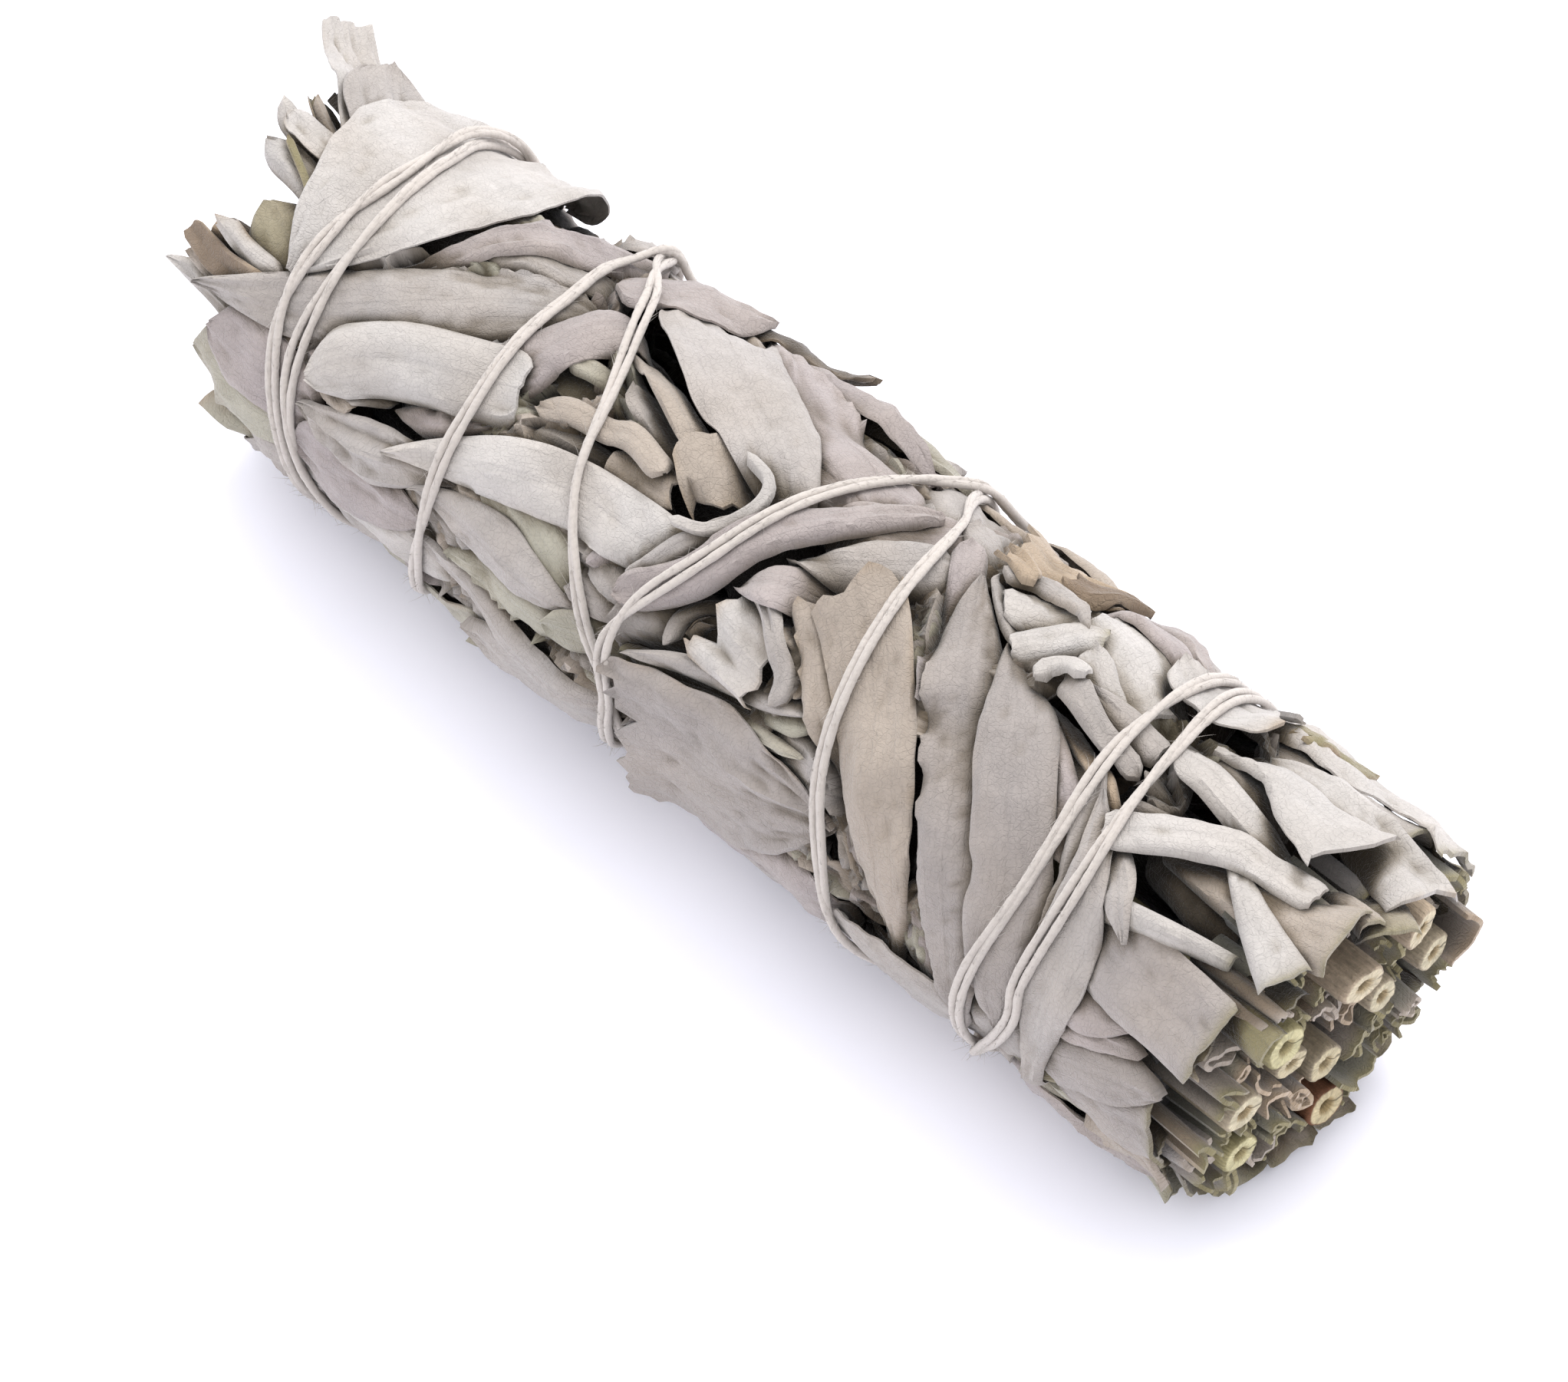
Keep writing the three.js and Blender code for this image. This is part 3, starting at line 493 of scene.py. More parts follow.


# ---------------------------------------------------------------- the leaves that are listed one by one

# Each group is in the order in which its leaves are laid. First the tips that stand out past the far end
FAR_TIPS = (
    Leaf(((-44, 100), (-59, 97)), 9, curl=22),
    Leaf(((-44, 84), (-64, 87)), 9.5, tint="green"),
    Leaf(((-48, 66), (-69.5, 64)), 7.5, end="point", curl=35, tint="white"),
    Leaf(((-48, -66), (-70, -70)), 9, curl=22, tint="green", rim=0.5),
    Leaf(((-48, -58), (-74, -60)), 9, end="taper", curl=22),
    Leaf(((-50, 47), (-66, 45)), 6, end="blunt", curl=(20, 75), tint="tan", rim=0.9),
    Leaf(((-50, 55), (-67, 56)), 5, curl=(20, 85), tint="beige", rim=0.9),
    Leaf(((-50, 38), (-56, 35), (-62.4, 27)), 11, curl=(30, 46), tint="khaki", rim=0.3),
    Leaf(((-54, 24), (-60, 14), (-66, 5)), 2.6, end="blunt", curl=60, lift=(0, 0.4), tint="brown", rim=0.5),
    Leaf(((-54, 2), (-62, 3), (-70, -5)), 5.4, curl=(45, 80), tint="white"),
    Leaf(((-54, -12), (-62, -14), (-70, -20)), 6.5, curl=(20, -80), tint="khaki", rim=1),
    Leaf(((-56, -4), (-62, -8), (-68.5, -15)), 3.2, curl=100, lift=(0, 0.4), tint="beige", rim=1),
    Leaf(((-50, -56), (-61, -57), (-68, -57)), 7, curl=20, sunk=-0.8, rim=0),
    Leaf(((-50, -22), (-58, -25), (-65.4, -39), (-71.4, -50), (-77.6, -58)), 14.5, end="taper", curl=16,
         taut=1, lean=0.8, lift=(0, 5), tint="white"),
    Leaf(((-48, -17), (-56, -22), (-63, -33), (-67.5, -41)), 12.6, curl=24, taut=1, lean=0.8, lift=(0, 1.6),
         rim=0),
    Leaf(((-46, 74), (-61, 70)), 9.5, curl=28, tint="lilac"),
    Leaf(((-55, 18), (-61, 13), (-67, 12)), 5.4, curl=(30, 70), tint="white", rim=0.6),
    Leaf(((-55.5, 21), (-58.6, 18), (-61, 14), (-65, 8)), 1.3, curl=80, taut=1, tint="olive", rim=0.6),
    Leaf(((-55, -8), (-61, -1), (-67.5, 1)), 4.6, curl=(50, -60), tint="white", rim=0.6),
    Leaf(((-56, 45), (-61, 44), (-65.5, 40)), 3.4, end="torn", curl=(30, 95), tint="white", rim=1),
    Leaf(((-56, 50), (-62, 52), (-68, 49)), 3.6, end="blunt", curl=(30, -80), tint="brown", rim=1),
)

# The nest of small leaves in the recess
NEST_LEAVES = (
    Leaf(((-24, 34), (-14, 30)), 6, sunk=0.6),
    Leaf(((-20, -13), (-14, -8), (-7, -2)), 4.8, taut=1, sunk=-1.8, tint="khaki"),
    Leaf(((-27, 8), (-21, 12)), 7, curl=-30, tint="green", rim=0.4),
    Leaf(((-26, 10), (-22, 7), (-18.5, 5), (-15.5, 1)), 2.8, curl=40, taut=1, sunk=-0.8, tint="green"),
    Leaf(((-20, 10), (-16.6, 13), (-13, 15)), 2.6, curl=50, taut=1, sunk=-0.6, tint="green", rim=0.4),
    Leaf(((-18.6, 5), (-14.8, 8), (-11.6, 11), (-8.6, 17)), 4.2, end="blunt", curl=40, taut=1, sunk=-2.4,
         rim=0.3),
    Leaf(((-24, -7), (-19.2, -3), (-16, 0), (-12, 4), (-8, 8)), 4, "point", curl=40, taut=1, sunk=-2.2,
         tint="beige"),
    Leaf(((-15.5, 27), (-11.4, 25), (-7.2, 23)), 4.8, "blunt", "torn", taut=1, sunk=-0.8, tint="beige",
         rim=0.5),
    Leaf(((-25, 27), (-21.6, 22), (-17.4, 20), (-14.2, 18), (-9, 21)), 3.4, curl=60, taut=0.6, sunk=-0.6,
         tint="beige"),
    Leaf(((-25.5, 24), (-21, 26)), 2.2, "torn", curl=90, sunk=1.4, tint="beige", rim=1),
    Leaf(((-8.8, 5), (-5.8, 12), (-2.8, 18.5)), 7.2, "blunt", "torn", curl=34, taut=0.8, sunk=-0.9,
         lift=(0, 0.5), tint="beige", rim=0.6),
)

# The far half's outer leaves
FAR_LEAVES = (
    Leaf(((-45, 99), (-27, 98)), 10.5, "point", curl=26, tint="white"),
    Leaf(((-48, 87), (-40, 84), (-30, 80)), 9.5, end="point", curl=26, tint="lilac"),
    Leaf(((-38, -57), (-33, -66)), 5, curl=35),
    Leaf(((-42, -2), (-34, -18), (-28, -34)), 6, sunk=0.5),
    Leaf(((-47, 20), (-41.5, -2), (-37, -20), (-34, -38), (-32, -54)), 6.4, "point", curl=44, taut=0.4,
         pleats=0.3, tint="lilac"),
    Leaf(((-64.5, 62), (-52, 46), (-40, 21), (-30, -5), (-25, -18)), 10.8, "point", "stalk", taut=0.5),
    Leaf(((-38, 41), (-29.4, 26), (-28, 13), (-26.5, 2), (-24, -12), (-19, -19)), 6.2, "point", curl=36,
         taut=0.7, lean=-0.4, lift=(0, 0.6), tint="lilac"),
    Leaf(((-48, 72), (-38.5, 69), (-28, 61)), 7, "point", "point", pleats=0.25),
    Leaf(((-47, 64), (-41.5, 61)), 2.6, curl=60, sunk=0.8, tint="beige", rim=0.7),
    Leaf(((-46.5, 60), (-42.5, 57.5), (-39, 55.5)), 2.8, curl=70, sunk=0.6),
    Leaf(((-47, 60), (-44, 50), (-40, 42), (-35.5, 36), (-30, 30), (-26.5, 27)), 9, end="blunt",
         curl=(66, 26), taut=0.7, lift=(1.2, 0), tint="white"),
    Leaf(((-50, -78), (-52, -40), (-53, 2), (-55, 40)), 22.5, end="point", curl=16, taut=0.7, wave=0.2,
         tint="white", rim=0),
)

# The lower side of the far half
LOWER_LEAVES = (
    Leaf(((-24, 104), (-4, 106)), 9, "point", curl=24),
    Leaf(((-31, 84), (-22, 90), (-12, 95), (-2, 97)), 3.4, "point", "point", curl=45, taut=0.5),
    Leaf(((-27, 82), (-19, 79), (-10, 83)), 5.6, "point", curl=40, tint="green"),
    Leaf(((-25, 53), (-18, 58), (-11, 67)), 7, curl=26, taut=0.5, tint="green"),
    Leaf(((-32, 69), (-24, 67), (-17, 68), (-10, 70)), 7, "point", "point", taut=0.5),
    Leaf(((-13, 76), (-4, 76)), 6, curl=34, tint="green"),
    Leaf(((-12, 62), (-7.6, 61.5), (-1.5, 58)), 4.4, curl=45, taut=1),
    Leaf(((-11.5, 50), (-7, 54), (-2, 57)), 4.6, curl=60, taut=1),
    Leaf(((-11, 53), (-9.3, 46), (-4, 43)), 5, "blunt", "cut", curl=(150, 130), taut=1, tint="lilac"),
    Leaf(((-36, 64), (-29, 54), (-23, 46), (-16, 40), (-10, 38.5), (-4, 38)), 7.4, "point", "blunt",
         curl=24, taut=0.6, lift=(0, 0.6), tint="white"),
)

# The upper side of the middle
UPPER_LEAVES = (
    Leaf(((-20, -60), (4, -66)), 8),
    Leaf(((-17, -58), (-12, -57), (-4, -55)), 5, "torn", curl=40, rim=0.5),
    Leaf(((-6, -53), (1, -51), (9, -53)), 4.6, "torn", "point", curl=45, tint="green"),
    Leaf(((-10, -24), (-1.6, -14), (7, -3)), 10, end="point", curl=26, taut=1, sunk=-3.2, tint="lilac"),
    Leaf(((-14, -49), (-8, -49), (-2, -45), (7, -40)), 5, end="point", curl=50, taut=0.5, pleats=0.3,
         tint="lilac"),
    Leaf(((-18.4, -55), (-12.8, -42.5), (-8.6, -35), (-4.2, -28.5), (0, -24), (5.2, -21), (9.4, -19)), 7.4,
         "point", taut=0.6, sunk=0.6, flare=0.2, tint="lilac"),
    # painted shade: this leaf is tinted near-black for the shadow it lies in
    Leaf(((-21.5, -54), (-16, -60), (-8, -64)), 5, end="torn", curl=14, lift=(0.8, 2.4), tint="dark",
         rim=0.4),
    Leaf(((-22, -34), (-17, -24.5), (-12, -17), (-7, -10.5), (-2.8, -4), (0.8, 3), (2.6, 9.5)), 12, "blunt",
         "stalk", curl=20, taut=1, rim=0.05),
    Leaf(((-30, -22), (-25.5, -33), (-22, -44), (-19, -55)), 9, end="point", curl=34, taut=0.5,
         tint="lilac"),
    Leaf(((-6.4, 50), (-5.2, 44), (-3.4, 32), (-1.6, 21), (0.4, 11), (3, 4)), 2.6, curl=50, taut=0.9,
         sunk=-0.6),
    Leaf(((-4.6, 3), (-1.2, 5), (-0.2, 11), (-0.8, 19), (-2.6, 26), (-5.8, 29)), 1.6, curl=70, taut=1,
         lift=(0.4, 0.6), tint="white", rim=0),
)

# The crumpled group below the middle, and the torn leaves beside it
MIDDLE_LEAVES = (
    Leaf(((0, 116), (26, 112)), 11, curl=24),
    Leaf(((4, 104), (27, 106)), 9, tint="lilac"),
    Leaf(((-6, 62), (4, 56), (16, 50)), 9, curl=24, taut=0.6, sunk=-1),
    Leaf(((-3, 80), (7, 74), (20, 62)), 8, curl=24, taut=0.8, sunk=-1.6),
    Leaf(((-4, 70), (2, 65), (9, 60), (17, 50)), 3.6, "cut", curl=(70, 50), taut=0.8, tint="green"),
    Leaf(((-3, 65), (3, 59), (10, 54), (18, 46)), 3, "point", "point", curl=55, taut=0.8),
    Leaf(((-3, 76), (5, 69), (18, 59)), 4, "blunt", "point", curl=50, taut=0.8, tint="green"),
    Leaf(((0, 58), (-0.4, 50), (1, 43), (4.5, 37)), 2.8, end="torn", curl=100, taut=1, rim=0.5),
    Leaf(((1.5, 55), (1.5, 49), (3, 44)), 2, end="torn", curl=90, sunk=0.8, tint="beige", rim=0.7),
    Leaf(((2.6, 43), (6.5, 44.5), (12, 46.5)), 8, "torn", "torn", taut=0.8, lift=(0.5, 0.2), pleats=0.25,
         tint="white", rim=0.7),
    Leaf(((8, 28.5), (11.5, 34), (13.6, 39), (14.4, 47)), 2.2, curl=70, taut=0.7, tint="beige"),
    Leaf(((5.8, 29.5), (8.6, 33), (10.8, 38), (12.6, 43), (13.4, 51)), 2.4, "torn", curl=70, taut=0.7,
         lift=(0, 0.5)),
    Leaf(((2.6, 33), (6, 27), (9.6, 21), (12.8, 15)), 5.8, "point", taut=0.5, tint="lilac"),
    Leaf(((6, 6), (12, -10), (16, -24)), 9, curl=22, taut=0.6, tint="lilac"),
    Leaf(((12, 8), (20, 12)), 7, end="point", tint="lilac"),
    Leaf(((4.5, 17), (9.3, 10), (12.7, 3), (14.7, -3), (17, -11)), 6.2, "point", curl=34, taut=0.5,
         rim=0.3),
    Leaf(
         ((-6.4, 53), (-3.2, 46), (-0.8, 37.5), (0.6, 28), (1.6, 20), (3.4, 11), (6, 2), (9, -8), (12, -22)),
         5, end="stalk", curl=62, taut=0.8, groove=0.4, tint="lilac"),
    Leaf(((9, 78), (20, 84)), 9, curl=20, tint="lilac"),
    Leaf(((-3.5, 92), (8, 84), (23, 74)), 17, "ragged", "point", curl=8, lift=(1.6, 0), wave=0.35,
         tint="dusk", rim=0.4),
    Leaf(((9.8, 23), (13.4, 31), (15.5, 38), (18.2, 47), (21.5, 56), (24, 72)), 4, "torn", "point", curl=26,
         taut=0.4, lift=(0.6, 0), tint="beige", rim=0.8),
    Leaf(((12, 12.5), (16, 20), (19.7, 30), (23.2, 41), (26.1, 55), (29.7, 74), (33, 104)), 8.6, "torn",
         "point", curl=20, taut=0.4, lift=(0.7, 0), tint="beige", rim=0.7),
)

# The long leaves that run down to the ties, and those above them
NEAR_LEAVES = (
    Leaf(((24, 106), (46, 110)), 10, curl=24),
    Leaf(((40, 70), (49, 106)), 9, "point", curl=26),
    Leaf(((33, 4), (38, 18), (44, 38)), 8, end="point", sunk=-2.2, tint="green"),
    Leaf(((31, 0), (36, 6), (39.4, 9), (43, 17), (46, 28)), 3.6, "point", curl=40),
    Leaf(((31, -3), (35.8, 4.5), (39.2, 9), (42.6, 13), (46, 21)), 2.6, "point", curl=50, tint="tan",
         rim=0.6),
    Leaf(((27, -4), (31.6, 6), (35.2, 12), (38.6, 18), (42, 26), (45, 38)), 3.4, "point", curl=36,
         tint="lilac", rim=0.4),
    Leaf(((14, -31), (19.5, -20), (23.5, -14)), 4.6, end="point", curl=40),
    Leaf(((16.2, -20), (20.1, -5), (22.1, 6), (22.8, 15), (25, 27)), 4, end="point", curl=48, lean=0.4,
         tint="lilac"),
    Leaf(((19.8, -13), (23.4, 2), (26.4, 14), (30.2, 28), (33.2, 43), (35.6, 57), (38, 74), (41.5, 104)),
         7.4, "tip", "tip", curl=20, taut=0.4, groove=0.1, tint="dusk"),
    Leaf(((26.4, -3), (32.4, 12), (36.2, 26), (39.2, 38), (41.8, 51), (43, 68), (45, 94)), 8, "tip", "tip",
         curl=22, taut=0.5, tint="dusk"),
    Leaf(((41, 6), (44, 22), (46.6, 40), (46.8, 62)), 3.6, "point", "point"),
    Leaf(((30, -62), (52, -66)), 10, curl=24),
    Leaf(((20, -44), (44, -46)), 9, curl=24, taut=0.6),
    Leaf(((31, -21), (38, -16), (46, -14)), 9, curl=24, taut=0.6, sunk=-3),
    Leaf(((44, -34), (62, -34)), 8, end="cut", taut=0.6, sunk=-0.8, tint="green"),
    Leaf(((47, -43), (57, -46), (65, -45)), 6.6, end="cut", taut=0.6, sunk=-1.4),
    Leaf(((44, -14), (58, -18)), 6, taut=0.6),
    Leaf(((27, -58), (32, -56), (37, -48), (43, -37)), 3, end="point", curl=50, tint="lilac"),
    Leaf(((20.5, -18), (24.7, -9), (28.5, -1)), 3, end="point", curl=50),
    Leaf(((30, -27), (35, -24), (39.4, -20.5), (42.4, -17)), 10, "blunt", "blunt", curl=34, taut=1,
         sunk=-0.6, lift=(0, 0.6), tint="white", rim=0),
    Leaf(((25, -27), (29.8, -35), (33.8, -37), (38.2, -36), (44, -31)), 3.8, "point", "point", curl=50,
         taut=0.8, lift=(0, 0.3), tint="lilac"),
    Leaf(((33, -12.5), (36.6, -6), (39.8, -3)), 4, curl=46, tint="white"),
    Leaf(((36.6, -2), (40.4, -3.5), (45, -3)), 3.8, "point", "blunt", curl=40, taut=0.5, lean=-0.3),
    Leaf(((33.2, -2.5), (36.6, 2), (40, 4.5), (45, 6)), 2.8, curl=55, taut=1),
    Leaf(((31.6, 4), (31.8, -1), (33.6, -4), (36, -1.5)), 2.2, curl=60, taut=1, lift=(0, 0.3),
         tint="white"),
    Leaf(((23.2, -10), (26.2, -18), (29.4, -24)), 5.4, "blunt", "blunt", curl=48, taut=0.7, tint="white",
         rim=0.4),
    Leaf(((20.5, -18), (24, -23), (27.8, -22), (31.4, -16)), 2.6, end="point", curl=50, taut=0.7, rim=0.4),
    Leaf(((27, -1), (30, -11), (33.4, -18)), 5.6, "blunt", "cut", curl=84, taut=1, sunk=1.6, tint="white",
         rim=0),
    Leaf(((15, -33), (18.4, -39), (22.2, -42), (25.4, -46), (30, -51)), 9, "ragged", "torn", curl=18,
         taut=0.4, lift=(0.4, 0.2), tint="tan", rim=0.8),
    Leaf(((23.5, -32), (26.4, -36), (28.4, -42), (31, -47)), 4, "torn", "point", taut=0.4, lift=(0.5, 0),
         tint="brown", rim=1),
    Leaf(((18.5, -24), (21, -22), (24, -19)), 2.6, "torn", curl=60, tint="tan", rim=0.8),
)

# The leaves that stand out at the cut end
CUT_LEAVES = (
    Leaf(((48, -70), (67, -66)), 9, end="cut", curl=18, tint="olive"),
    Leaf(((44, -52), (58, -56), (68, -54)), 9, end="cut", curl=20, tint="white"),
    Leaf(((49, -42), (52, -55), (56, -60)), 3.4, "torn", curl=20, taut=0.5, sunk=0.9, tint="olive", rim=1),
    Leaf(((48, -17), (53.4, -16), (57, -9)), 5, curl=40, taut=1),
    Leaf(((65, -17), (68, -11), (72, -2)), 6.5, end="cut", taut=1, tint="khaki"),
    Leaf(((61.5, -8), (66.8, -4), (71, 0.5)), 3.2, end="cut", curl=60, taut=1, tint="beige"),
    Leaf(((45, 4), (53, 1), (59, 0)), 3, curl=60, sunk=1),
    Leaf(((49, 19), (53.8, 22), (57.4, 26), (61, 25)), 5.4, end="taper", taut=0.5, sunk=1),
    Leaf(((61, 26), (66, 30), (70, 30)), 4.5, end="cut", curl=50, sunk=1.5, tint="olive", rim=0.6),
    Leaf(((51, 17), (59.2, 13), (64.2, 11), (70.6, 9)), 8.6, "stalk", "cut", curl=(60, 44), taut=1,
         tint="beige", rim=0.6),
    Leaf(((61, 45), (66, 43), (71, 43)), 4.8, end="cut", curl=50, sunk=1, tint="olive"),
    Leaf(((49, 102), (53, 97)), 5, curl=60, tint="olive"),
    Leaf(((54, 100), (60, 103), (65.4, 108.5)), 7.5, end="point", curl=12, lift=(0, 0.6), tint="beige"),
    Leaf(((53, 97), (59, 92), (64.5, 86)), 7, end="cut", curl=14, lift=(0, 0.7), tint="dusk"),
    Leaf(((50, 90), (56, 81), (64, 73)), 7, end="point", curl=22, lift=(0, 0.4), tint="dusk"),
    Leaf(((49, 77), (56, 70), (60.5, 68)), 3.4, end="point", curl=40, lift=(0, 0.3), tint="lilac"),
    Leaf(((48, 68), (55, 64), (60, 59)), 5, end="point", curl=24, lift=(0, 0.8), tint="lilac"),
    Leaf(((54, 47), (60, 50), (67.2, 51.5)), 8.4, "cut", "torn", curl=5, taut=1, tint="olive", rim=0.4),
    Leaf(((48, 46), (57, 49), (66.5, 51)), 9, "cut", "cut", curl=5, taut=1, lift=(0, 0.6), wave=0.1,
         tint="dusk", rim=0),
    Leaf(((50, 40), (57, 35), (63.5, 31)), 4, "blunt", "cut", curl=(70, 120), taut=1, tint="white", rim=0),
    Leaf(((47, 26), (51, 33), (55, 43)), 3.6, end="point", curl=20),
    Leaf(((44, 16), (47.4, 32), (49.4, 48), (50, 64), (49.8, 86), (50.4, 108)), 7.4, "point", "point",
         curl=24),
    Leaf(((46, 15), (52, 9), (57.5, 3)), 3.2, curl=40, taut=1),
    Leaf(((49, -26), (55.6, -30), (61.4, -29), (67, -24), (72.4, -17)), 5.4, end="torn", curl=34, taut=0.8,
         flare=0.5, tint="white", rim=0.1),
    Leaf(((46, -7), (52.4, -3.5), (57, -3.5), (62.4, -6)), 4.6, end="cut", curl=(40, 55), taut=1,
         tint="white", rim=0.1),
    Leaf(((56, 7), (61.6, 17), (65, 22), (69, 27)), 3.2, "taper", "cut", curl=20, taut=1, lift=(0, 0.3),
         flare=0.6, tint="white", rim=0.1),
    Leaf(((46.5, 24), (53.2, 12.5), (57, 7), (60.2, 4.5), (65.4, 3)), 4.2, "blunt", "blunt", curl=36,
         taut=1, lean=-0.4, lift=(0.3, 0.4), groove=0.3, tint="white", rim=0.1),
    Leaf(((47.5, -16), (53.6, -18.5), (58.6, -15), (61.8, -14), (67, -13)), 4.4, "stalk", "ragged",
         curl=(40, 14), taut=1, lift=(0, 0.6), flare=1.3, tint="white", rim=0.1),
    Leaf(((38, -32), (44, -32), (50.5, -34)), 9.5, end="torn", curl=20, taut=1, lift=(0, 0.4), tint="white",
         rim=0.2),
)

# ---------------------------------------------------------------- the leaves that are laid by rules

# How finely each group's leaves are made: mm between rows, and columns; without them, by the leaf's width
GRIDS = {"under_leaves": (1.3, 11), "end_leaves": (1.0, 11), "back_leaves": (1.1, 17)}
FINE_GRID = (0.62, None)
GAP_GRID = (0.8, 9)
TINT_DRAW = ("grey", "grey", "lilac", "green", "beige")


def covers_hollow(path, width):
    """Whether a leaf along a path would close one of the hollows."""
    ends = np.array([(x, angle * ARC) for x, angle in path])
    line = np.linspace(ends[0], ends[-1], 12)
    for x, angle, along, around, _ in HOLLOWS:
        apart = turn_apart(line[:, 1] / ARC, angle) * ARC
        if np.any(np.hypot(line[:, 0] - x, apart) < width / 2 + 0.5 * max(along, around)):
            return True
    return False


def random_leaf(rng, x, angle, length, width, slant, kinds, curl=(24, 46)):
    """A leaf round a middle place, turned by a slant in degrees from the bunch's axis."""
    bend = rng.uniform(-0.12, 0.12) * length
    ahead = np.array((math.cos(math.radians(slant)), math.sin(math.radians(slant))))
    side = np.array((-ahead[1], ahead[0]))
    middle = np.array((x, angle * ARC))
    spots = (middle - ahead * length / 2, middle + side * bend, middle + ahead * length / 2)
    path = tuple((spot[0], spot[1] / ARC) for spot in spots)
    start, end = rng.choice(kinds, 2)
    return Leaf(path, width, start, end, curl=rng.uniform(*curl), wave=0.35, lean=rng.uniform(-0.3, 0.3),
                groove=rng.choice((0, 0, 0.15)), tint=rng.choice(TINT_DRAW), rim=rng.uniform(0.1, 0.5))


def under_leaves(rng):
    """The inner leaves all round, which show only between the outer ones."""
    LAYERS_UNDER, RINGS, PER_RING = 2, 10, 9
    HALF_SPAN = 54
    for _, ring, k in product(range(LAYERS_UNDER), range(RINGS), range(PER_RING)):
        x = -HALF_SPAN + 2 * HALF_SPAN * (ring + rng.uniform(0.2, 0.8)) / RINGS
        angle = 360 * (k + rng.uniform(0, 1)) / PER_RING
        length = min(rng.uniform(16, 30), 2 * (60 - abs(x)) + 8)
        width, slant = rng.uniform(6, 10), rng.uniform(-60, 60)
        item = random_leaf(rng, x, angle, length, width, slant, ("point", "round"))
        if not covers_hollow(item.path, item.width):
            yield item


def back_leaves(rng):
    """The outer leaves of the sides that no listed leaf reaches."""
    RINGS, PER_RING = 6, 7
    WIDTHS = (13, 10)  # of the two layers
    FIRST_X, LAST_X = -50, 48
    FIRST_ANGLE, LAST_ANGLE = 116, 292
    KINDS = ("point", "point", "round", "stalk")
    for wide, ring, k in product(WIDTHS, range(RINGS), range(PER_RING)):
        x = FIRST_X + (LAST_X - FIRST_X) * (ring + 0.5 + rng.uniform(-0.3, 0.3)) / RINGS
        angle = FIRST_ANGLE + (LAST_ANGLE - FIRST_ANGLE) * (k + rng.uniform(0.1, 0.9)) / PER_RING
        length = min(rng.uniform(26, 42), 2 * (62 - abs(x)) + 4)
        width = wide * rng.uniform(0.75, 1.2)
        yield random_leaf(rng, x, angle, length, width, rng.uniform(-58, 58), KINDS, (18, 36))


def end_leaves(rng, side):
    """Rings of leaves that stand out past an end of the bunch: side is 1 at the cut end, -1 at the other."""
    PER_RING = 15
    BACK = 205  # the middle of the sides turned away
    FIRST_REACH, NEXT_REACH = 150, 84  # degrees from there that the first ring and the next ones cover
    RING_TURN = 10
    at_cut_end = side > 0
    for ring, k in product(range(3 if at_cut_end else 2), range(PER_RING)):
        angle = 360 / PER_RING * (k + rng.uniform(0, 1)) + RING_TURN * ring
        if abs(turn_apart(angle, BACK)) > (NEXT_REACH if ring else FIRST_REACH):
            continue
        out = rng.uniform(62, 66.5) if at_cut_end else -rng.uniform(60, 67)
        path = ((side * 40, angle + rng.uniform(-14, 14)), (out, angle))
        width = rng.uniform(5, 9)
        if covers_hollow(path, width):
            continue
        end = "cut" if at_cut_end else rng.choice(("round", "taper", "torn"))
        yield Leaf(path, width, "round", end, curl=rng.uniform(20, 60), wave=0.4,
                   tint=rng.choice(("grey", "beige", "green")), rim=rng.uniform(0.2, 0.7))


def deepest_gap(rng, relief, depth):
    """The deepest of some places of the front: x, angle, depth, and the slant of the gap there."""
    TRIED = 70
    FRONT_X, FRONT_ANGLES = (-54, 58), (-75, 128)
    x, angle = rng.uniform(*FRONT_X, TRIED), rng.uniform(*FRONT_ANGLES, TRIED)
    hidden = relief.sample(depth, x, angle)
    best = int(np.argmax(hidden))
    out = np.array((-5, -3.5, -2, 2, 3.5, 5))
    slants = np.arange(-75, 105, 15)
    turned = np.radians(slants)[:, None]
    beside = relief.sample(depth, x[best] + out * np.cos(turned), angle[best] + out * np.sin(turned) / ARC)
    return x[best], angle[best], hidden[best], slants[int(np.argmax(beside.mean(axis=1)))]


def fill_gaps(rng, relief, before):
    """Lays small leaves under the edges of the outer ones, wherever these leave a deep gap.

    The heights before the nest and the outer leaves were laid tell which places those cover. Such a place
    counts as a gap only where it lies deep, and a hollow never does.
    """
    ROUNDS, EACH = 40, 9
    LEVEL_REACH = 2.0
    SHALLOWEST = 1.0
    COVERED, COVERED_EXTRA = 0.2, 1.6  # the rise that counts as covered, and how much deeper a gap is there
    covered = relief.height > before + COVERED
    allowed = hollow_depth(relief.x[:, None], relief.angle[None, :]) + COVERED_EXTRA * covered
    sheets = []
    for _ in range(ROUNDS):
        level = relief.blurred(relief.height, LEVEL_REACH)
        depth = level - relief.height - allowed
        for _ in range(EACH):
            x, angle, hidden, slant = deepest_gap(rng, relief, depth)
            item = random_leaf(rng, x, angle, rng.uniform(8, 15), rng.uniform(3.2, 5.4), slant,
                               ("point", "round"), (10, 34))
            if hidden < SHALLOWEST or covers_hollow(item.path, item.width):
                continue
            item = item._replace(sunk=rng.uniform(0.9, 1.3), lift=(-0.9, -0.9), taut=0, wave=0.15, lean=0)
            sheets.append(lay_leaf(relief, item, rng, *GAP_GRID, level, depth))
            depth = level - relief.height - allowed
    return sheets


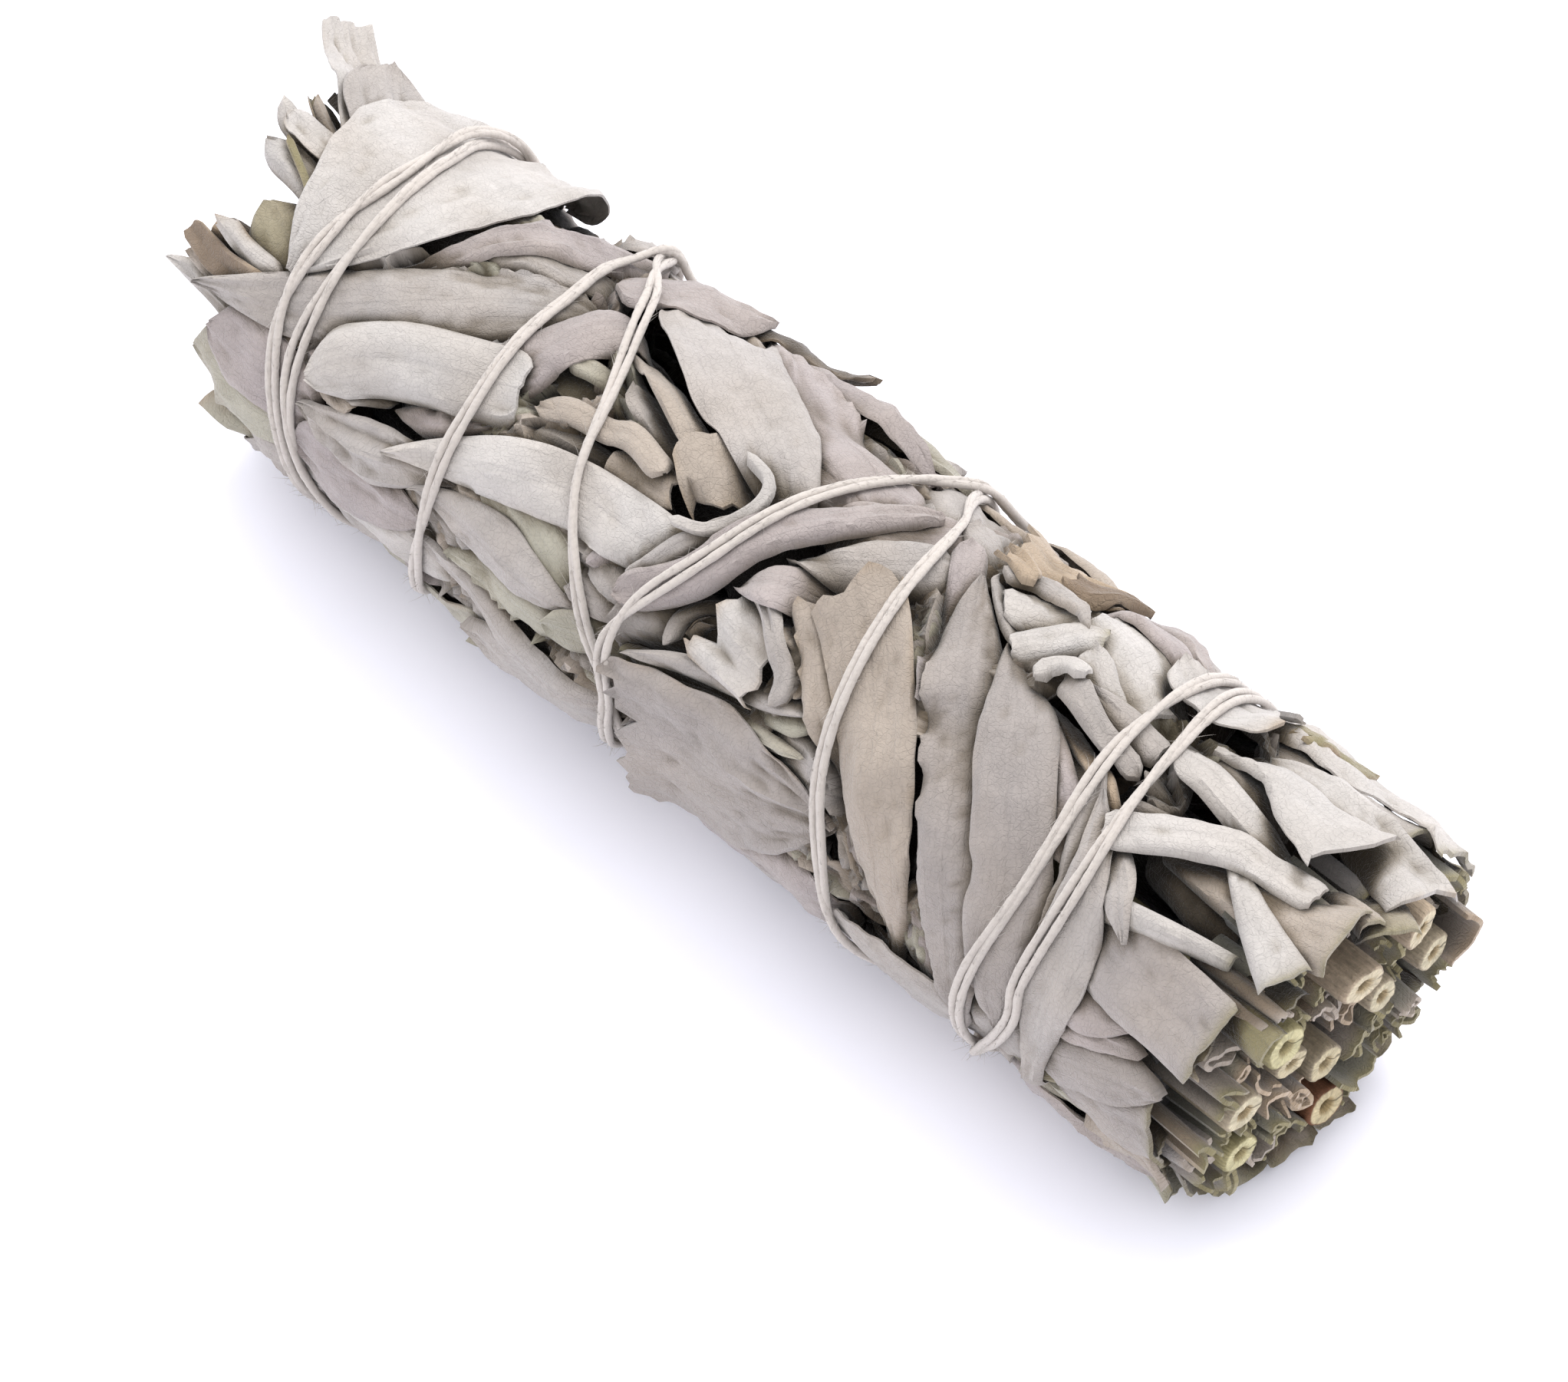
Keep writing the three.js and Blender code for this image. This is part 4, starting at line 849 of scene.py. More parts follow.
def lay_leaves(rng, relief):
    """Lays every leaf, from the inner ones to the outer ones, and returns each group's sheets."""
    groups = {
        "under_leaves": list(under_leaves(rng)),
        "end_leaves": list(end_leaves(rng, 1)) + list(end_leaves(rng, -1)),
        "back_leaves": list(back_leaves(rng)),
        "far_tips": FAR_TIPS,
        "nest_leaves": NEST_LEAVES,
        "far_leaves": FAR_LEAVES,
        "middle_leaves": LOWER_LEAVES + UPPER_LEAVES + MIDDLE_LEAVES,
        "near_leaves": NEAR_LEAVES + CUT_LEAVES,
    }
    laid = {}
    for name, items in groups.items():
        if name == "nest_leaves":
            before = relief.height.copy()
        row_step, columns = GRIDS.get(name, FINE_GRID)
        laid[name] = [lay_leaf(relief, item, rng, row_step, columns) for item in items]
    laid["gap_leaves"] = fill_gaps(rng, relief, before)
    return laid


# ---------------------------------------------------------------- string

# The string, wound from the far end to the cut end and back: turns counted in degrees, and x
STRING_ROUTE = (
    (-140, -56), (-125, -53.4), (-55, -55), (-20, -52.4), (15, -50.5), (60, -50), (100, -47.2),
    (200, -42), (305, -32.5), (342, -25), (372, -19.5), (398, -16), (427, -9.5), (460, -4),
    (560, 2), (665, 9), (698, 14), (730, 17), (778, 20), (820, 25),
    (920, 34), (1025, 40.6), (1080, 42), (1127, 43.4), (1180, 41),
    (1280, 41.6), (1385, 43.4), (1438, 46), (1475, 48), (1510, 47), (1540, 45),
    (1640, 26), (1745, 9.5), (1783, 4.6), (1826, 0.4), (1860, -4.6), (1900, -5),
    (2000, -17), (2105, -31.5), (2160, -31), (2205, -29.8), (2260, -31.2),
    (2370, -44), (2465, -54.6), (2515, -53.6), (2567, -53.6), (2620, -49.5), (2690, -50.5),
    (2755, -53.4), (2770, -50.6),
)
KNOT_TURN = -125  # where the string's two ends are knotted, at the back
STRING_STEP = 3  # degrees of winding
STRING_THICK = 1.3
STRING_SUNK = 0.5  # how far the string's middle lies under the heights that it presses on
CROSSING = 0.85  # how much of its thickness it keeps where it crosses itself
BITE = 0.45  # how far under its middle the drawn-in leaves lie
TIE_HALF = 0.7  # mm to either side of the string that are drawn in fully
TIE_REACH = 2.3  # and over how many more that fades out
PULL_LIMIT = 6  # beyond this many mm from the string, nothing is drawn in
PULL_SOFT = 0.35  # mm over which it is evened out
DEEPEST_PULL = 2.2
BELOW_USUAL = 0.3  # how far the middle level of the settled leaves lies under the usual radius
SETTLED_GAP = 0.5  # and how far over the ground
SETTLE_REACH = 3.4
DEEPEST_COUNTED = 2.5  # mm under the usual radius: anything deeper is a hollow, and stays one
PLY_TWIST = 64.0  # mm for a full turn of the two plies round each other
PLY_RADIUS = 0.4
PLY_OFFSETS = (0.42, 0.1)  # of a ply's middle from the string's, along the surface and above it
# Where the plies part: turn, reach and how far
PARTED = ((1858, 16, 0.75), (60, 25, 0.2), (1440, 60, 0.2), (330, 40, 0.15))


def settling(relief):
    """How far the bunch's tightness sinks each place, so that its leaves come to the usual radius."""
    usual = radius_at(relief.x)[:, None] - BELOW_USUAL
    over = relief.height - np.minimum(usual, over_ground(relief.angle, SETTLED_GAP)[None, :])
    return relief.blurred(np.maximum(over, -DEEPEST_COUNTED), SETTLE_REACH)


def string_line(relief, settled):
    """The string's turns, x and heights, taut over the settled leaves and clear of the ground."""
    BESIDE = product((-0.7, 0, 0.7), (-3, 0, 3))  # mm to its side, and degrees ahead
    TAUT_STEPS = 4
    GROUND_GAP = 0.1
    route, _, _ = smooth_path(STRING_ROUTE)
    turns = np.arange(STRING_ROUTE[0][0], STRING_ROUTE[-1][0] + 1, STRING_STEP, dtype=float)
    x = np.interp(turns, route[:, 0], route[:, 1])
    heights = [
        relief.highest_near(x + side, turns + ahead) - relief.sample(settled, x + side, turns + ahead)
        for side, ahead in BESIDE
    ]
    height = along_rows(np.max(heights, axis=0), TAUT_STEPS) - STRING_SUNK
    return turns, x, np.minimum(height, over_ground(turns, STRING_THICK / 2 + GROUND_GAP))


def crossed(turns, x, height):
    """The heights with each later turn of the string passing over the earlier ones."""
    SOFT_STEPS = 1.5
    lifted = height.copy()
    whole = 360 // STRING_STEP
    for i in range(whole, len(turns)):
        for before in range(i - whole, -1, -whole):
            for j in (before - 1, before, min(before + 1, i - 1)):
                apart = abs(x[i] - x[j])
                if j >= 0 and apart < STRING_THICK:
                    over = math.sqrt(STRING_THICK**2 - apart**2)
                    lifted[i] = max(lifted[i], lifted[j] + CROSSING * over)
    return height + along_rows(lifted - height, SOFT_STEPS)


def string_pull(relief, settled, turns, x, height):
    """How far each place of the relief sinks, with the string drawing the leaves in."""
    pull = np.zeros_like(relief.height)
    surface = relief.height - settled
    reach_x = int(PULL_LIMIT / relief.STEP)
    reach_turn = int(PULL_LIMIT / (relief.TURN * ARC))
    di = np.arange(-reach_x, reach_x + 1)
    dk = np.arange(-reach_turn, reach_turn + 1)
    far = np.hypot(di[:, None] * relief.STEP, dk[None, :] * relief.TURN * ARC)
    weight = np.exp(-((np.maximum(far - TIE_HALF, 0) / TIE_REACH) ** 2))
    for turn, at, over in zip(turns, x, height):
        i, k = relief.cells(np.array(at), np.array(turn))
        rows = np.clip(i + di, 0, len(relief.x) - 1)[:, None]
        columns = ((k + dk) % len(relief.angle))[None, :]
        wanted = np.clip(surface[rows, columns] - (over - BITE), 0, DEEPEST_PULL)
        pull[rows, columns] = np.maximum(pull[rows, columns], weight * wanted)
    return settled + relief.blurred(pull, PULL_SOFT)


# ---------------------------------------------------------------- meshes


class Piece:
    """Closed bodies gathered for one mesh: points in mm, faces, colours and surface distances."""

    def __init__(self):
        self.points, self.faces, self.colours, self.spots = [], [], [], []
        self.count = 0

    def add(self, points, faces, colours, spots):
        """Adds one closed body, with its faces turned to look out."""
        volume = 0
        for face in faces:
            corners = points[face] - points[0]
            for j in range(1, face.shape[1] - 1):
                volume += np.sum(corners[:, 0] * np.cross(corners[:, j], corners[:, j + 1]))
        if volume < 0:
            faces = [face[:, ::-1] for face in faces]
        self.faces += [face + self.count for face in faces]
        self.points.append(points)
        self.colours.append(np.broadcast_to(colours, (len(points), 3)))
        self.spots.append(spots)
        self.count += len(points)

    def mesh(self, name):
        SHARP = math.radians(48)
        mesh = bpy.data.meshes.new(name)
        points = np.concatenate(self.points) * MM
        loops = np.concatenate([face.ravel() for face in self.faces])
        sizes = np.concatenate([np.full(len(face), face.shape[1]) for face in self.faces])
        starts = np.concatenate(((0,), np.cumsum(sizes)[:-1]))
        mesh.vertices.add(len(points))
        mesh.vertices.foreach_set("co", points.ravel())
        mesh.loops.add(len(loops))
        mesh.loops.foreach_set("vertex_index", loops.astype(np.int32))
        mesh.polygons.add(len(sizes))
        mesh.polygons.foreach_set("loop_start", starts.astype(np.int32))
        mesh.update(calc_edges=True)
        colours = np.concatenate(self.colours)
        tint = mesh.color_attributes.new("Tint", "FLOAT_COLOR", "POINT")
        tint.data.foreach_set("color", np.column_stack((colours, np.ones(len(colours)))).ravel())
        spots = np.concatenate(self.spots)
        mesh.uv_layers.new(name="Surface").data.foreach_set("uv", spots[loops].ravel())
        mesh.shade_smooth()
        mesh.set_sharp_from_angle(angle=SHARP)
        mesh.validate()
        return mesh

    def make(self, name, material, replaced=()):
        """Makes the object, which rides on the bunch's one body."""
        piece = bpy.data.objects.new(name, self.mesh(name))
        piece.data.materials.append(material)
        bpy.context.collection.objects.link(piece)
        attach(piece, "root")
        if replaced:
            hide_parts(*replaced)


def grid_faces(rows, columns, wraps=False):
    """The quads of a grid of points counted row by row."""
    i = np.arange(rows - 1)[:, None]
    j = np.arange(columns if wraps else columns - 1)[None, :]
    after = (j + 1) % columns
    corners = (i * columns + j, i * columns + after, (i + 1) * columns + after, (i + 1) * columns + j)
    return np.stack(np.broadcast_arrays(*corners), axis=-1).reshape(-1, 4)


def slab_faces(rows, columns):
    """The faces of a slab: a grid of points on top, the same below, and the rim between them."""
    top = grid_faces(rows, columns)
    size = rows * columns
    index = np.arange(size).reshape(rows, columns)
    rim = np.concatenate((index[0, :-1], index[:-1, -1], index[-1, :0:-1], index[:0:-1, 0]))
    after = np.roll(rim, -1)
    sides = np.column_stack((after, rim, rim + size, after + size))
    return [top, top[:, ::-1] + size, sides]


def surface_spots(along, across):
    """The surface map's places, from mm along a surface and across it."""
    return np.stack(np.broadcast_arrays(along / SPOT, across / SPOT), axis=-1)


def add_slab(piece, over, under, colours, spots):
    """A closed slab between two grids of points."""
    rows, columns = over.shape[:2]
    points = np.concatenate((over.reshape(-1, 3), under.reshape(-1, 3)))
    both = np.tile(colours.reshape(-1, 3), (2, 1))
    piece.add(points, slab_faces(rows, columns), both, np.tile(spots.reshape(-1, 2), (2, 1)))


def add_tube(piece, rings, colours, spots):
    """A closed tube through rings of points, with a fan over each end."""
    rows, columns = rings.shape[:2]
    middles = np.stack((rings[0].mean(axis=0), rings[-1].mean(axis=0)))
    points = np.concatenate((rings.reshape(-1, 3), middles))
    j = np.arange(columns)
    after = (j + 1) % columns
    size = rows * columns
    last = size - columns
    caps = np.concatenate((
        np.column_stack((after, j, np.full(columns, size))),
        np.column_stack((j + last, after + last, np.full(columns, size + 1))),
    ))
    colours = np.broadcast_to(colours, (rows, columns, 3)).reshape(-1, 3)
    spots = spots.reshape(-1, 2)
    piece.add(points, [grid_faces(rows, columns, wraps=True), caps],
              np.concatenate((colours, colours[[0, -1]])), np.concatenate((spots, spots[[0, -1]])))


class Bunch(NamedTuple):
    """The laid bunch: its relief, how far it sinks, and the levels of its outer leaves, rough and close."""

    relief: Relief
    pull: np.ndarray
    level: np.ndarray
    close_level: np.ndarray


def drawn_in(bunch, x, angle, height):
    """Points in the part's frame, drawn in by the string and kept above the ground."""
    points = place(x, angle, height - bunch.relief.sample(bunch.pull, x, angle))
    points[..., 2] = np.maximum(points[..., 2], GROUND)
    return points


def with_painted_shade(bunch, colour, x, angle, height):
    """Colours with painted shade: darkened by how deep they lie under the outer leaves, and by the leaves
    right beside them.
    """
    FREE, FADE = 0.5, 1.5  # mm under the level of the leaves: still unshaded, and for each step of painted shade
    CLOSE_FREE, CLOSE_FADE = 0.1, 0.55  # the same for the painted contact shadow under the leaves right beside it
    DARKEST = 0.06
    WARMTH = np.array((1.0, 1.1, 1.3))  # the painted shade is brown: it takes more green and blue away
    buried = bunch.relief.sample(bunch.level, x, angle) - height
    beside = bunch.relief.sample(bunch.close_level, x, angle) - height
    light = np.exp(-np.maximum(buried - FREE, 0) / FADE)
    light = light * np.exp(-np.maximum(beside - CLOSE_FREE, 0) / CLOSE_FADE)
    light = DARKEST + (1 - DARKEST) * light
    return colour * light[..., None] ** WARMTH


def leaf_piece(name, bunch, sheets, material, replaced=()):
    """A group of laid leaves, with a surface map that starts at another place on each."""
    SHIFT = 0.37
    THINNEST = 0.02  # mm, where a leaf is pressed flat on the ground
    piece = Piece()
    for index, (blade, under, over, colour) in enumerate(sheets):
        # painted shade: darkens each leaf in the crevices and right beside a higher leaf's edge
        colour = with_painted_shade(bunch, colour, blade.x, blade.angle, over)
        over = drawn_in(bunch, blade.x, blade.angle, over)
        under = drawn_in(bunch, blade.x, blade.angle, under)
        over[..., 2] = np.maximum(over[..., 2], under[..., 2] + THINNEST)
        add_slab(piece, over, under, colour, surface_spots(blade.along, blade.across) + (SHIFT * index, 0))
    piece.make(name, material, replaced)


def core_piece(bunch, material):
    """The heart of the bunch, seen only through its hollows: nearly black, as painted shade for their depth.
    """
    SUNK = 0.4
    x = np.arange(CORE_ENDS[0], CORE_ENDS[1] + 0.5, 1.0)[:, None]
    angle = np.arange(0, 360, 2.5)[None, :]
    rings = drawn_in(bunch, x + 0 * angle, angle + 0 * x, core_radius(x, angle) - SUNK)
    piece = Piece()
    # painted shade: the core is coloured nearly black so that the hollows read as deep shadow
    add_tube(piece, rings, linear("brown") * 0.07, surface_spots(x, angle * ARC))
    piece.make("leaf_core", material)


def frames_along(points, out):
    """The directions across a line of points: along the surface that it lies on, and up from it."""
    ahead = unit(np.gradient(points, axis=0))
    side = unit(np.cross(ahead, out))
    return side, np.cross(side, ahead)


def add_strand(piece, points, out, radius, sides=9):
    """A round cotton strand along a line of points."""
    side, up = frames_along(points, out)
    around = np.linspace(0, 2 * math.pi, sides, endpoint=False)
    turned = around[None, :, None]
    radius = np.broadcast_to(radius, len(points))[:, None, None]
    rings = points[:, None] + radius * (side[:, None] * np.cos(turned) + up[:, None] * np.sin(turned))
    spots = surface_spots(travelled(points)[:, None], around * SPOT / (2 * math.pi))
    add_tube(piece, rings, linear("cotton"), spots)


def string_points(turns, x, height):
    """Points of the string, kept above the ground, and the ways out from the bunch there."""
    points = place(x, turns, height)
    points[:, 2] = np.maximum(points[:, 2], STRING_THICK / 2 + GROUND)
    out = np.stack((0 * x, -np.sin(np.radians(turns)), np.cos(np.radians(turns))), axis=-1)
    return points, out


def string_pieces(turns, x, height, material, rng):
    """The string's two plies, wound round the bunch, its knot and its fibres. Returns its length in mm."""
    piece = Piece()
    fine = np.arange(turns[0], turns[-1], STRING_STEP / 2)
    points, out = string_points(fine, np.interp(fine, turns, x), np.interp(fine, turns, height))
    side, up = frames_along(points, out)
    distance = travelled(points)
    parting = sum(apart * np.exp(-(((fine - turn) / reach) ** 2)) for turn, reach, apart in PARTED)
    twist = 2 * math.pi * distance / PLY_TWIST + 1.5 * ripple(rng, distance, 0, 40)
    plies = []
    for ply in (0, math.pi):
        across = (PLY_OFFSETS[0] + parting) * np.cos(twist + ply)
        above = PLY_OFFSETS[1] * np.sin(twist + ply)
        line = points + side * across[:, None] + up * above[:, None]
        add_strand(piece, line, out, PLY_RADIUS * (1 + 0.07 * ripple(rng, distance, 3 * ply, 2.4)))
        plies.append(line)
    add_knot(piece, points[np.argmin(np.abs(fine - KNOT_TURN))])
    piece.make("wound_string", material, ("string",))
    fibre_piece(plies, out, material, rng)
    return distance[-1]


def add_knot(piece, middle):
    """A small overhand knot with two short tails."""
    RISE = 0.9  # how high the knot stands over the string
    TAIL = 7.5
    out = unit((middle - AXIS) * (0, 1, 1))
    along = np.array((1.0, 0, 0))
    around = np.cross(out, along)
    t = np.linspace(0, 2 * math.pi, 60)[:, None]
    loop_a = (np.sin(t) + 2 * np.sin(2 * t)) * 0.55
    loop_b = (np.cos(t) - 2 * np.cos(2 * t)) * 0.45
    knot = middle + loop_a * along + loop_b * around + (RISE - 0.5 * np.sin(3 * t)) * out
    add_strand(piece, knot, np.broadcast_to(out, knot.shape), 0.55)
    t = np.linspace(0, 1, 16)[:, None]
    radius = 0.5 - 0.12 * t[:, 0] + 0.1 * (t[:, 0] > 0.95)
    for way in (1, -1):
        sway = 0.8 * np.sin(3 * t + way)
        tail = middle + out * (RISE - 0.7 * t) + along * way * TAIL * t + around * (sway + way * 2.5 * t)
        add_strand(piece, tail, np.broadcast_to(out, tail.shape), radius)


def fibre_piece(plies, out, material, rng):
    """Loose cotton fibres standing off the plies."""
    COUNT = 2600
    SEGMENTS = 5
    THICK = 0.022
    piece = Piece()
    t = np.linspace(0, 1, SEGMENTS)[:, None]
    for _ in range(COUNT):
        line = plies[rng.integers(2)]
        i = rng.integers(2, len(line) - 3)
        ahead = unit(line[i + 1] - line[i])
        way = rng.normal(0, 1, 3) + out[i] * 1.2
        way = unit(way - ahead * way.dot(ahead))
        long = rng.uniform(0.6, 1.7)
        bend = rng.normal(0, 0.35, 3)
        rise = way * (PLY_RADIUS * 0.8 + 0.55 * long * t)
        fibre = line[i] + rise + ahead * long * t * rng.choice((-1, 1)) + bend * t**2
        fibre[:, 2] = np.maximum(fibre[:, 2], GROUND + 0.05)
        across = np.broadcast_to(np.cross(ahead, way), fibre.shape)
        add_strand(piece, fibre, across, THICK * (1.2 - t[:, 0]), sides=3)
    piece.make("string_fibres", material)


# ---------------------------------------------------------------- the two ends

FOLD_POINTS = 26  # in each fold line
ROOTED = 1.5  # how far inside the core's ends the folded leaves begin


def fold_line(rng):
    """The line that a folded or rolled leaf makes where it is cut across, in mm."""
    t = np.linspace(0, 1, FOLD_POINTS)
    kind = rng.choice(("arc", "arc", "roll", "wave", "hook"))
    if kind == "arc":
        length, heading = rng.uniform(4, 8), rng.uniform(1.5, 4.0) * t
    elif kind == "roll":
        length, heading = rng.uniform(7, 11), rng.uniform(6, 10) * t**1.5
    elif kind == "wave":
        length, heading = rng.uniform(6, 10), rng.uniform(1.0, 1.9) * np.sin(rng.uniform(6, 11) * t)
    else:
        length, heading = rng.uniform(6, 9), 3.1 / (1 + np.exp(-(t - 0.5) * 22))
    heading = heading * rng.choice((-1, 1))
    steps = np.stack((np.cos(heading), np.sin(heading)), axis=-1) * length / FOLD_POINTS
    line = np.cumsum(steps, axis=0)
    return line - line.mean(axis=0)


def placed_fold(rng, furthest):
    """A fold line anywhere in an end. Far from its middle, it runs round it."""
    line = fold_line(rng)
    far = furthest * math.sqrt(rng.uniform(0, 1))
    bearing = rng.uniform(0, 2 * math.pi)
    turn = rng.uniform(0, 2 * math.pi)
    if far > 0.6 * furthest:
        ends = line[-1] - line[0]
        turn = bearing + math.pi / 2 - math.atan2(ends[1], ends[0]) + rng.normal(0, 0.3)
    spin = np.array(((math.cos(turn), math.sin(turn)), (-math.sin(turn), math.cos(turn))))
    return line @ spin + far * np.array((math.cos(bearing), math.sin(bearing)))


def packed_folds(rng, count, furthest, taken=()):
    """Fold lines packed side by side in an end, clear of the discs (y, z, radius) that are taken."""
    CELL = 0.25
    HALF = 22
    TRIES = 5000
    OVERHANG = 1.2  # how far a line may reach past the furthest middle of one
    LOWEST = 2.2  # above the ground
    size = int(2 * HALF / CELL)
    centres = (np.arange(size) + 0.5) * CELL - HALF
    full = np.zeros((size, size), bool)
    for y, z, radius in taken:
        full |= np.hypot(centres[:, None] - y, centres[None, :] - z) < radius
    ring = [(i, j) for i, j in product(range(-2, 3), repeat=2) if i * i + j * j <= 5]
    lines = []
    for _ in range(TRIES):
        line = placed_fold(rng, furthest)
        cells = ((line + HALF) / CELL).astype(int)
        outside = np.max(np.hypot(*line.T)) > furthest + OVERHANG or np.min(line[:, 1]) < LOWEST - AXIS[2]
        if outside or np.any(full[cells[:, 0], cells[:, 1]]):
            continue
        for i, j in ring:
            full[cells[:, 0] + i, cells[:, 1] + j] = True
        lines.append(line)
        if len(lines) == count:
            break
    return lines


def add_fold(piece, rng, line, start, stop, shift):
    """A folded leaf that stands out of an end, from one x to another, along a line across the bunch."""
    ROWS = 9
    DARK, FADE = 0.08, 4.5  # painted shade: the light that is left deep inside, and mm for each step towards it
    EDGE, EDGE_FADE = 0.3, 0.5  # mm of the cut edge's colour, and for each step out
    thick = rng.uniform(0.5, 0.8)
    side = np.sign(stop - start)
    ahead = np.gradient(line, axis=0)
    normal = unit(np.stack((-ahead[:, 1], ahead[:, 0]), axis=-1))
    share = np.linspace(0, 1, ROWS)[:, None] ** 0.7
    frayed = 0.4 + 0.4 * ripple(rng, np.arange(len(line)) * 0.3, 0, 2.5) + rng.uniform(0, 0.1, len(line))
    x = start + (stop - side * frayed - start) * share
    share = share[..., None]
    middle = line.mean(axis=0)
    spread_out = 1 + rng.uniform(-0.06, 0.06) * share
    flat = middle + (line - middle) * spread_out + rng.normal(0, 0.35, 2) * share
    faces = []
    for way in (1, -1):
        across = flat + way * thick / 2 * normal * (1 - 0.25 * share)
        faces.append(np.concatenate((x[..., None], across), axis=-1) + AXIS)
    depth = np.abs(stop - x)[..., None]
    body = linear(rng.choice(("green", "beige", "grey", "beige", "tan"))) * rng.uniform(0.8, 1.0)
    edge = linear(rng.choice(("olive", "tan", "beige", "olive"))) * rng.uniform(0.9, 1.25)
    colour = body + (edge - body) * np.exp(-np.maximum(depth - frayed[:, None] - EDGE, 0) / EDGE_FADE)
    # painted shade: darker the deeper the fold lies inside the end
    colour = colour * (DARK + (1 - DARK) * np.exp(-depth / FADE))
    add_slab(piece, *faces, colour, surface_spots(x, np.arange(len(line)) * 0.3) + (0, shift))


def cut_end_piece(rng, stems, material):
    """The folded leaves round the cut stems. The cut leans out at its lower front side."""
    COUNT, REACH = 230, 17.6
    MIDDLE, FURTHEST = 67.2, 70.5
    ROOM = 0.35  # round each stem
    piece = Piece()
    taken = [(y, z, radius + ROOM) for y, z, radius in stems]
    for index, line in enumerate(packed_folds(rng, COUNT, REACH, taken)):
        y, z = line.mean(axis=0)
        stop = MIDDLE - 0.05 * y + 0.2 * min(z + 6, 0) + rng.normal(0, 1.3)
        add_fold(piece, rng, line, CORE_ENDS[1] - ROOTED, min(stop, FURTHEST), index * 0.29)
    piece.make("cut_end_folds", material)


def far_end_piece(rng, material):
    """The folded leaves among the tips at the far end."""
    COUNT, REACH = 80, 14.5
    MIDDLE, FURTHEST = -62.5, -67
    piece = Piece()
    for index, line in enumerate(packed_folds(rng, COUNT, REACH)):
        stop = MIDDLE + rng.normal(0, 1.6)
        add_fold(piece, rng, line, CORE_ENDS[0] + ROOTED, max(stop, FURTHEST), index * 0.31)
    piece.make("far_end_folds", material)


# A stem's bark, wood and pith colours (sRGB), from the greenest to the reddest
STEM_TINTS = (
    ((134, 126, 92), (184, 176, 138), (160, 148, 110)),
    ((150, 138, 118), (186, 176, 150), (164, 146, 114)),
    ((158, 142, 122), (190, 178, 152), (172, 154, 122)),
    ((140, 128, 108), (184, 172, 142), (166, 150, 118)),
)
RED_STEM = ((104, 70, 50), (186, 172, 138), (158, 138, 100))
RED_INDEX = 8
BARK, WOOD, PITH = range(3)
# Behind a stem's cut: x, share of its radius and layer, from the end of the bark into the pith
STEM_CUT = (
    (-0.15, 0.99, BARK),
    (0, 0.93, BARK),
    (0.05, 0.84, WOOD),
    (0.02, 0.7, WOOD),
    (0.05, 0.5, WOOD),
    (-0.1, 0.36, PITH),
    (-0.5, 0.3, PITH),
    (-1.2, 0.2, PITH),
)


def stem_piece(name, index, rng, material):
    """A stem where its CAD node is: ridged bark, and a cut with a ring of wood and a pith hollow.

    Returns its y and z from the bunch's axis, and its radius.
    """
    SIDES, BARK_ROWS = 36, 20
    NEAR_CUT, DEEP_PITH = -0.5, -0.7  # x behind the cut
    DARK, BARK_FADE = 0.35, 5  # painted shade: the light that is left inside the bunch and deep in the pith, and mm for each step towards it
    low, high = (np.array(corner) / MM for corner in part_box(name))
    y, z = (low + high)[1:] / 2
    radius = (high - low)[1:].max() / 2
    around = np.linspace(0, 2 * math.pi, SIDES, endpoint=False)
    ridges = 1 + 0.05 * np.sin(2 * around + index) + 0.03 * np.sin(5 * around + 2 * index)
    tints = RED_STEM if index == RED_INDEX else STEM_TINTS[index % len(STEM_TINTS)]
    tints = [(np.array(tint) / 255) ** 2.2 for tint in tints]
    slope, bearing = rng.uniform(0.1, 0.35), rng.uniform(0, 6)
    bark = [((low[0] - high[0]) * (1 - share), 1.0, BARK) for share in np.linspace(0, 1, BARK_ROWS) ** 0.6]
    rings, colours = [], []
    for x, share, layer in (*bark[:-1], *STEM_CUT):
        reach = radius * share * ridges
        lean = (x > NEAR_CUT) * (slope * share * np.cos(around - bearing) - slope)
        rough = (x > NEAR_CUT) * 0.035 * rng.normal(0, 1, SIDES) * (share > 0.4)
        ring = (high[0] + x + lean + rough, y + reach * np.cos(around), z + reach * np.sin(around))
        rings.append(np.stack(ring, axis=-1))
        streaks = 1 + 0.08 * np.sin(3 * around + 3 * index) + 0.05 * rng.normal(0, 1, SIDES)
        # painted shade deep in the pith hollow, and on the bark towards the inside of the bunch
        light = DARK if x < DEEP_PITH else 1.0
        if layer == BARK:
            light = DARK + (1 - DARK) * math.exp(x / BARK_FADE)
        colours.append(tints[layer] * light * streaks[:, None])
    rings = np.array(rings)
    piece = Piece()
    add_tube(piece, rings, np.array(colours), surface_spots(rings[..., 0], around * radius))
    piece.make(name + "_stalk", material, (name,))
    return y - AXIS[1], z - AXIS[2], radius


# ---------------------------------------------------------------- materials


